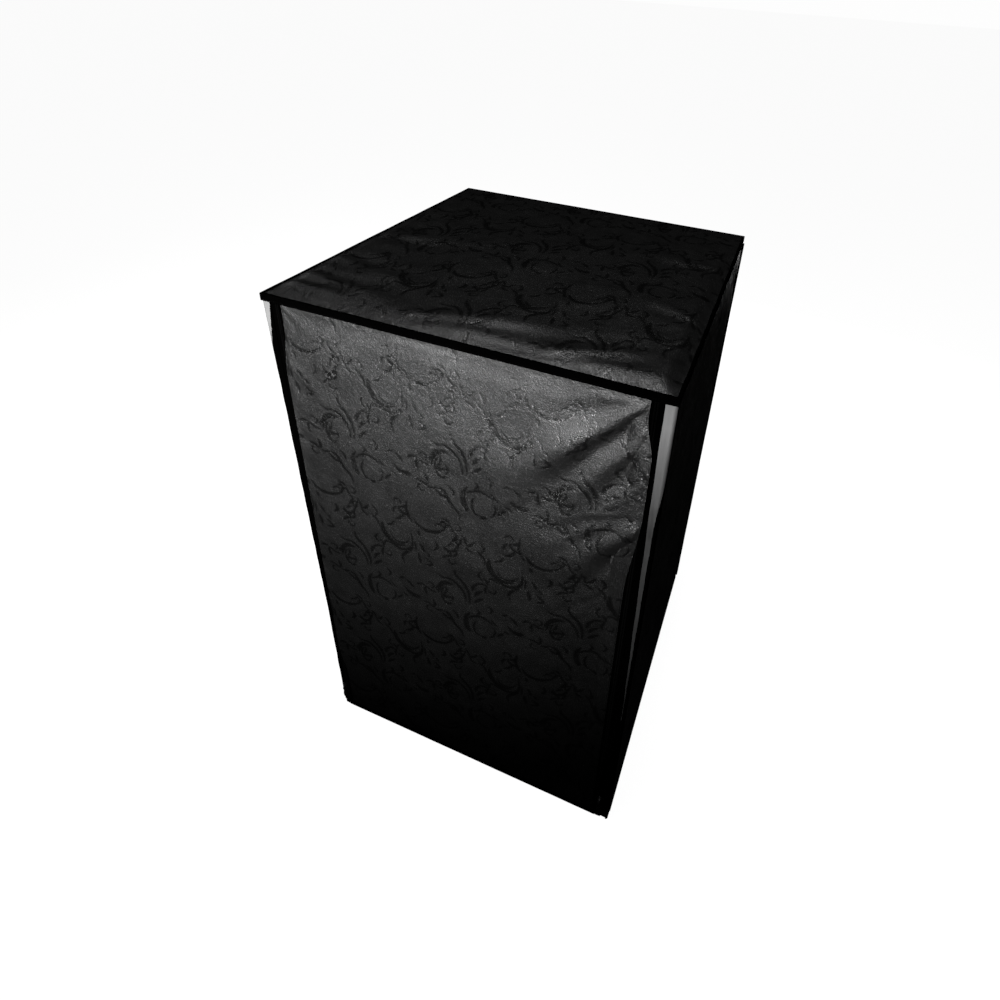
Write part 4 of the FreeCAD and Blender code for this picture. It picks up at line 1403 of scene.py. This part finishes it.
def build_floor():
    """A pale floor that shines by itself, and is darker where the tent covers it: painted shade under the
    tent.
    """
    n = Nodes("pale floor")
    reach = HALF * MM
    distances = [n.math("ABSOLUTE", n.axes()[axis]) for axis in "XY"]
    inside = [n.remap(distance, reach - SHADE_EDGE, reach, 1.0, 0.0) for distance in distances]
    # painted shade: the floor's glow drops where the tent stands over it
    glow = n.remap(n.math("MULTIPLY", *inside), 0.0, 1.0, FLOOR_BRIGHT, FLOOR_PAINTED_SHADE)
    n.link(glow, n.shader.inputs["Emission Strength"])
    material = n.finish(Base_Color=(0.5, 0.5, 0.5, 1), Roughness=0.9, Emission_Color=(1, 1, 1, 1))
    mesh = bpy.data.meshes.new("floor")
    corners = [(-FLOOR_FAR, -FLOOR_FAR, 0), (FLOOR_FAR, -FLOOR_FAR, 0), (FLOOR_FAR, FLOOR_FAR, 0),
               (-FLOOR_FAR, FLOOR_FAR, 0)]
    mesh.from_pydata(corners, [], [(0, 1, 2, 3)])
    mesh.materials.append(material)
    floor = link("floor", mesh)
    floor.visible_glossy = False
    floor.visible_diffuse = False


def area_light(name, place, target, size, power, spread=180.0):
    """A soft box of size metres at place, turned to target; spread in degrees."""
    data = bpy.data.lights.new(name, "AREA")
    data.shape = "RECTANGLE"
    data.size, data.size_y = size
    data.energy = power
    data.spread = math.radians(spread)
    light = link(name, data)
    light.location = place
    light.visible_camera = False
    aim = Vector(target) - Vector(place)
    light.rotation_euler = aim.to_track_quat("-Z", "Y").to_euler()


SEEN_GREY, DIM_STRENGTH = 0.985, 0.0008


def build_world():
    """Nearly white where the camera sees it, and nearly no light on the black cloth."""
    world = bpy.data.worlds.new("studio")
    bpy.context.scene.world = world
    world.use_nodes = True
    nodes, links = world.node_tree.nodes, world.node_tree.links
    nodes.clear()
    out, mix = nodes.new("ShaderNodeOutputWorld"), nodes.new("ShaderNodeMixShader")
    seen, dim = nodes.new("ShaderNodeBackground"), nodes.new("ShaderNodeBackground")
    seen.inputs["Color"].default_value = (SEEN_GREY, SEEN_GREY, SEEN_GREY, 1)
    dim.inputs["Color"].default_value = (1, 1, 1, 1)
    dim.inputs["Strength"].default_value = DIM_STRENGTH
    path = nodes.new("ShaderNodeLightPath").outputs["Is Camera Ray"]
    for source, target in ((path, mix.inputs[0]), (dim.outputs[0], mix.inputs[1]),
                           (seen.outputs[0], mix.inputs[2]), (mix.outputs[0], out.inputs[0])):
        links.new(source, target)


def build_lights():
    """A key light close to the front gives the cloth its sheen; the others fill in faintly all round."""
    area_light("key", (-0.17, -1.14, 0.82), (-0.35, -0.28, 0.75), (0.89, 0.22), 5.8, 82)
    area_light("above", (0.0, -0.35, 2.4), (0, -0.1, 0.9), (0.6, 0.6), 10.5)
    area_light("right high", (1.9, 0.0, 1.4), (0.28, 0, 0.45), (1.4, 0.6), 2.4)
    area_light("left high", (-1.9, 0.0, 1.4), (-0.28, 0, 0.45), (1.4, 0.6), 3.0)
    area_light("back low", (0.1, 2.0, 0.5), (0, 0.28, 0.45), (1.4, 0.6), 3.0)


CAMERA_PLACE = (0.3444, -0.8428, 1.2797)
CAMERA_TURNS = ((18.31, "Z"), (61.24, "X"), (4.07, "Z"))  # about the vertical, its tilt and its roll, degrees
CAMERA_LENS, CAMERA_SHIFT = 22.58, (-0.0758, -0.17)


def build_camera():
    """The photograph's viewing angle."""
    data = bpy.data.cameras.new("camera")
    camera = link("camera", data)
    place = Matrix.Translation(CAMERA_PLACE)
    for degrees, axis in CAMERA_TURNS:
        place = place @ Matrix.Rotation(math.radians(degrees), 4, axis)
    camera.matrix_world = place
    data.sensor_width = 36.0
    data.lens = CAMERA_LENS
    data.shift_x, data.shift_y = CAMERA_SHIFT
    data.clip_start = 0.01
    bpy.context.scene.camera = camera


build_camera()
build_floor()
build_world()
build_lights()
build_all()
bpy.context.scene.view_settings.view_transform = "Standard"
bpy.context.scene.view_settings.look = "None"
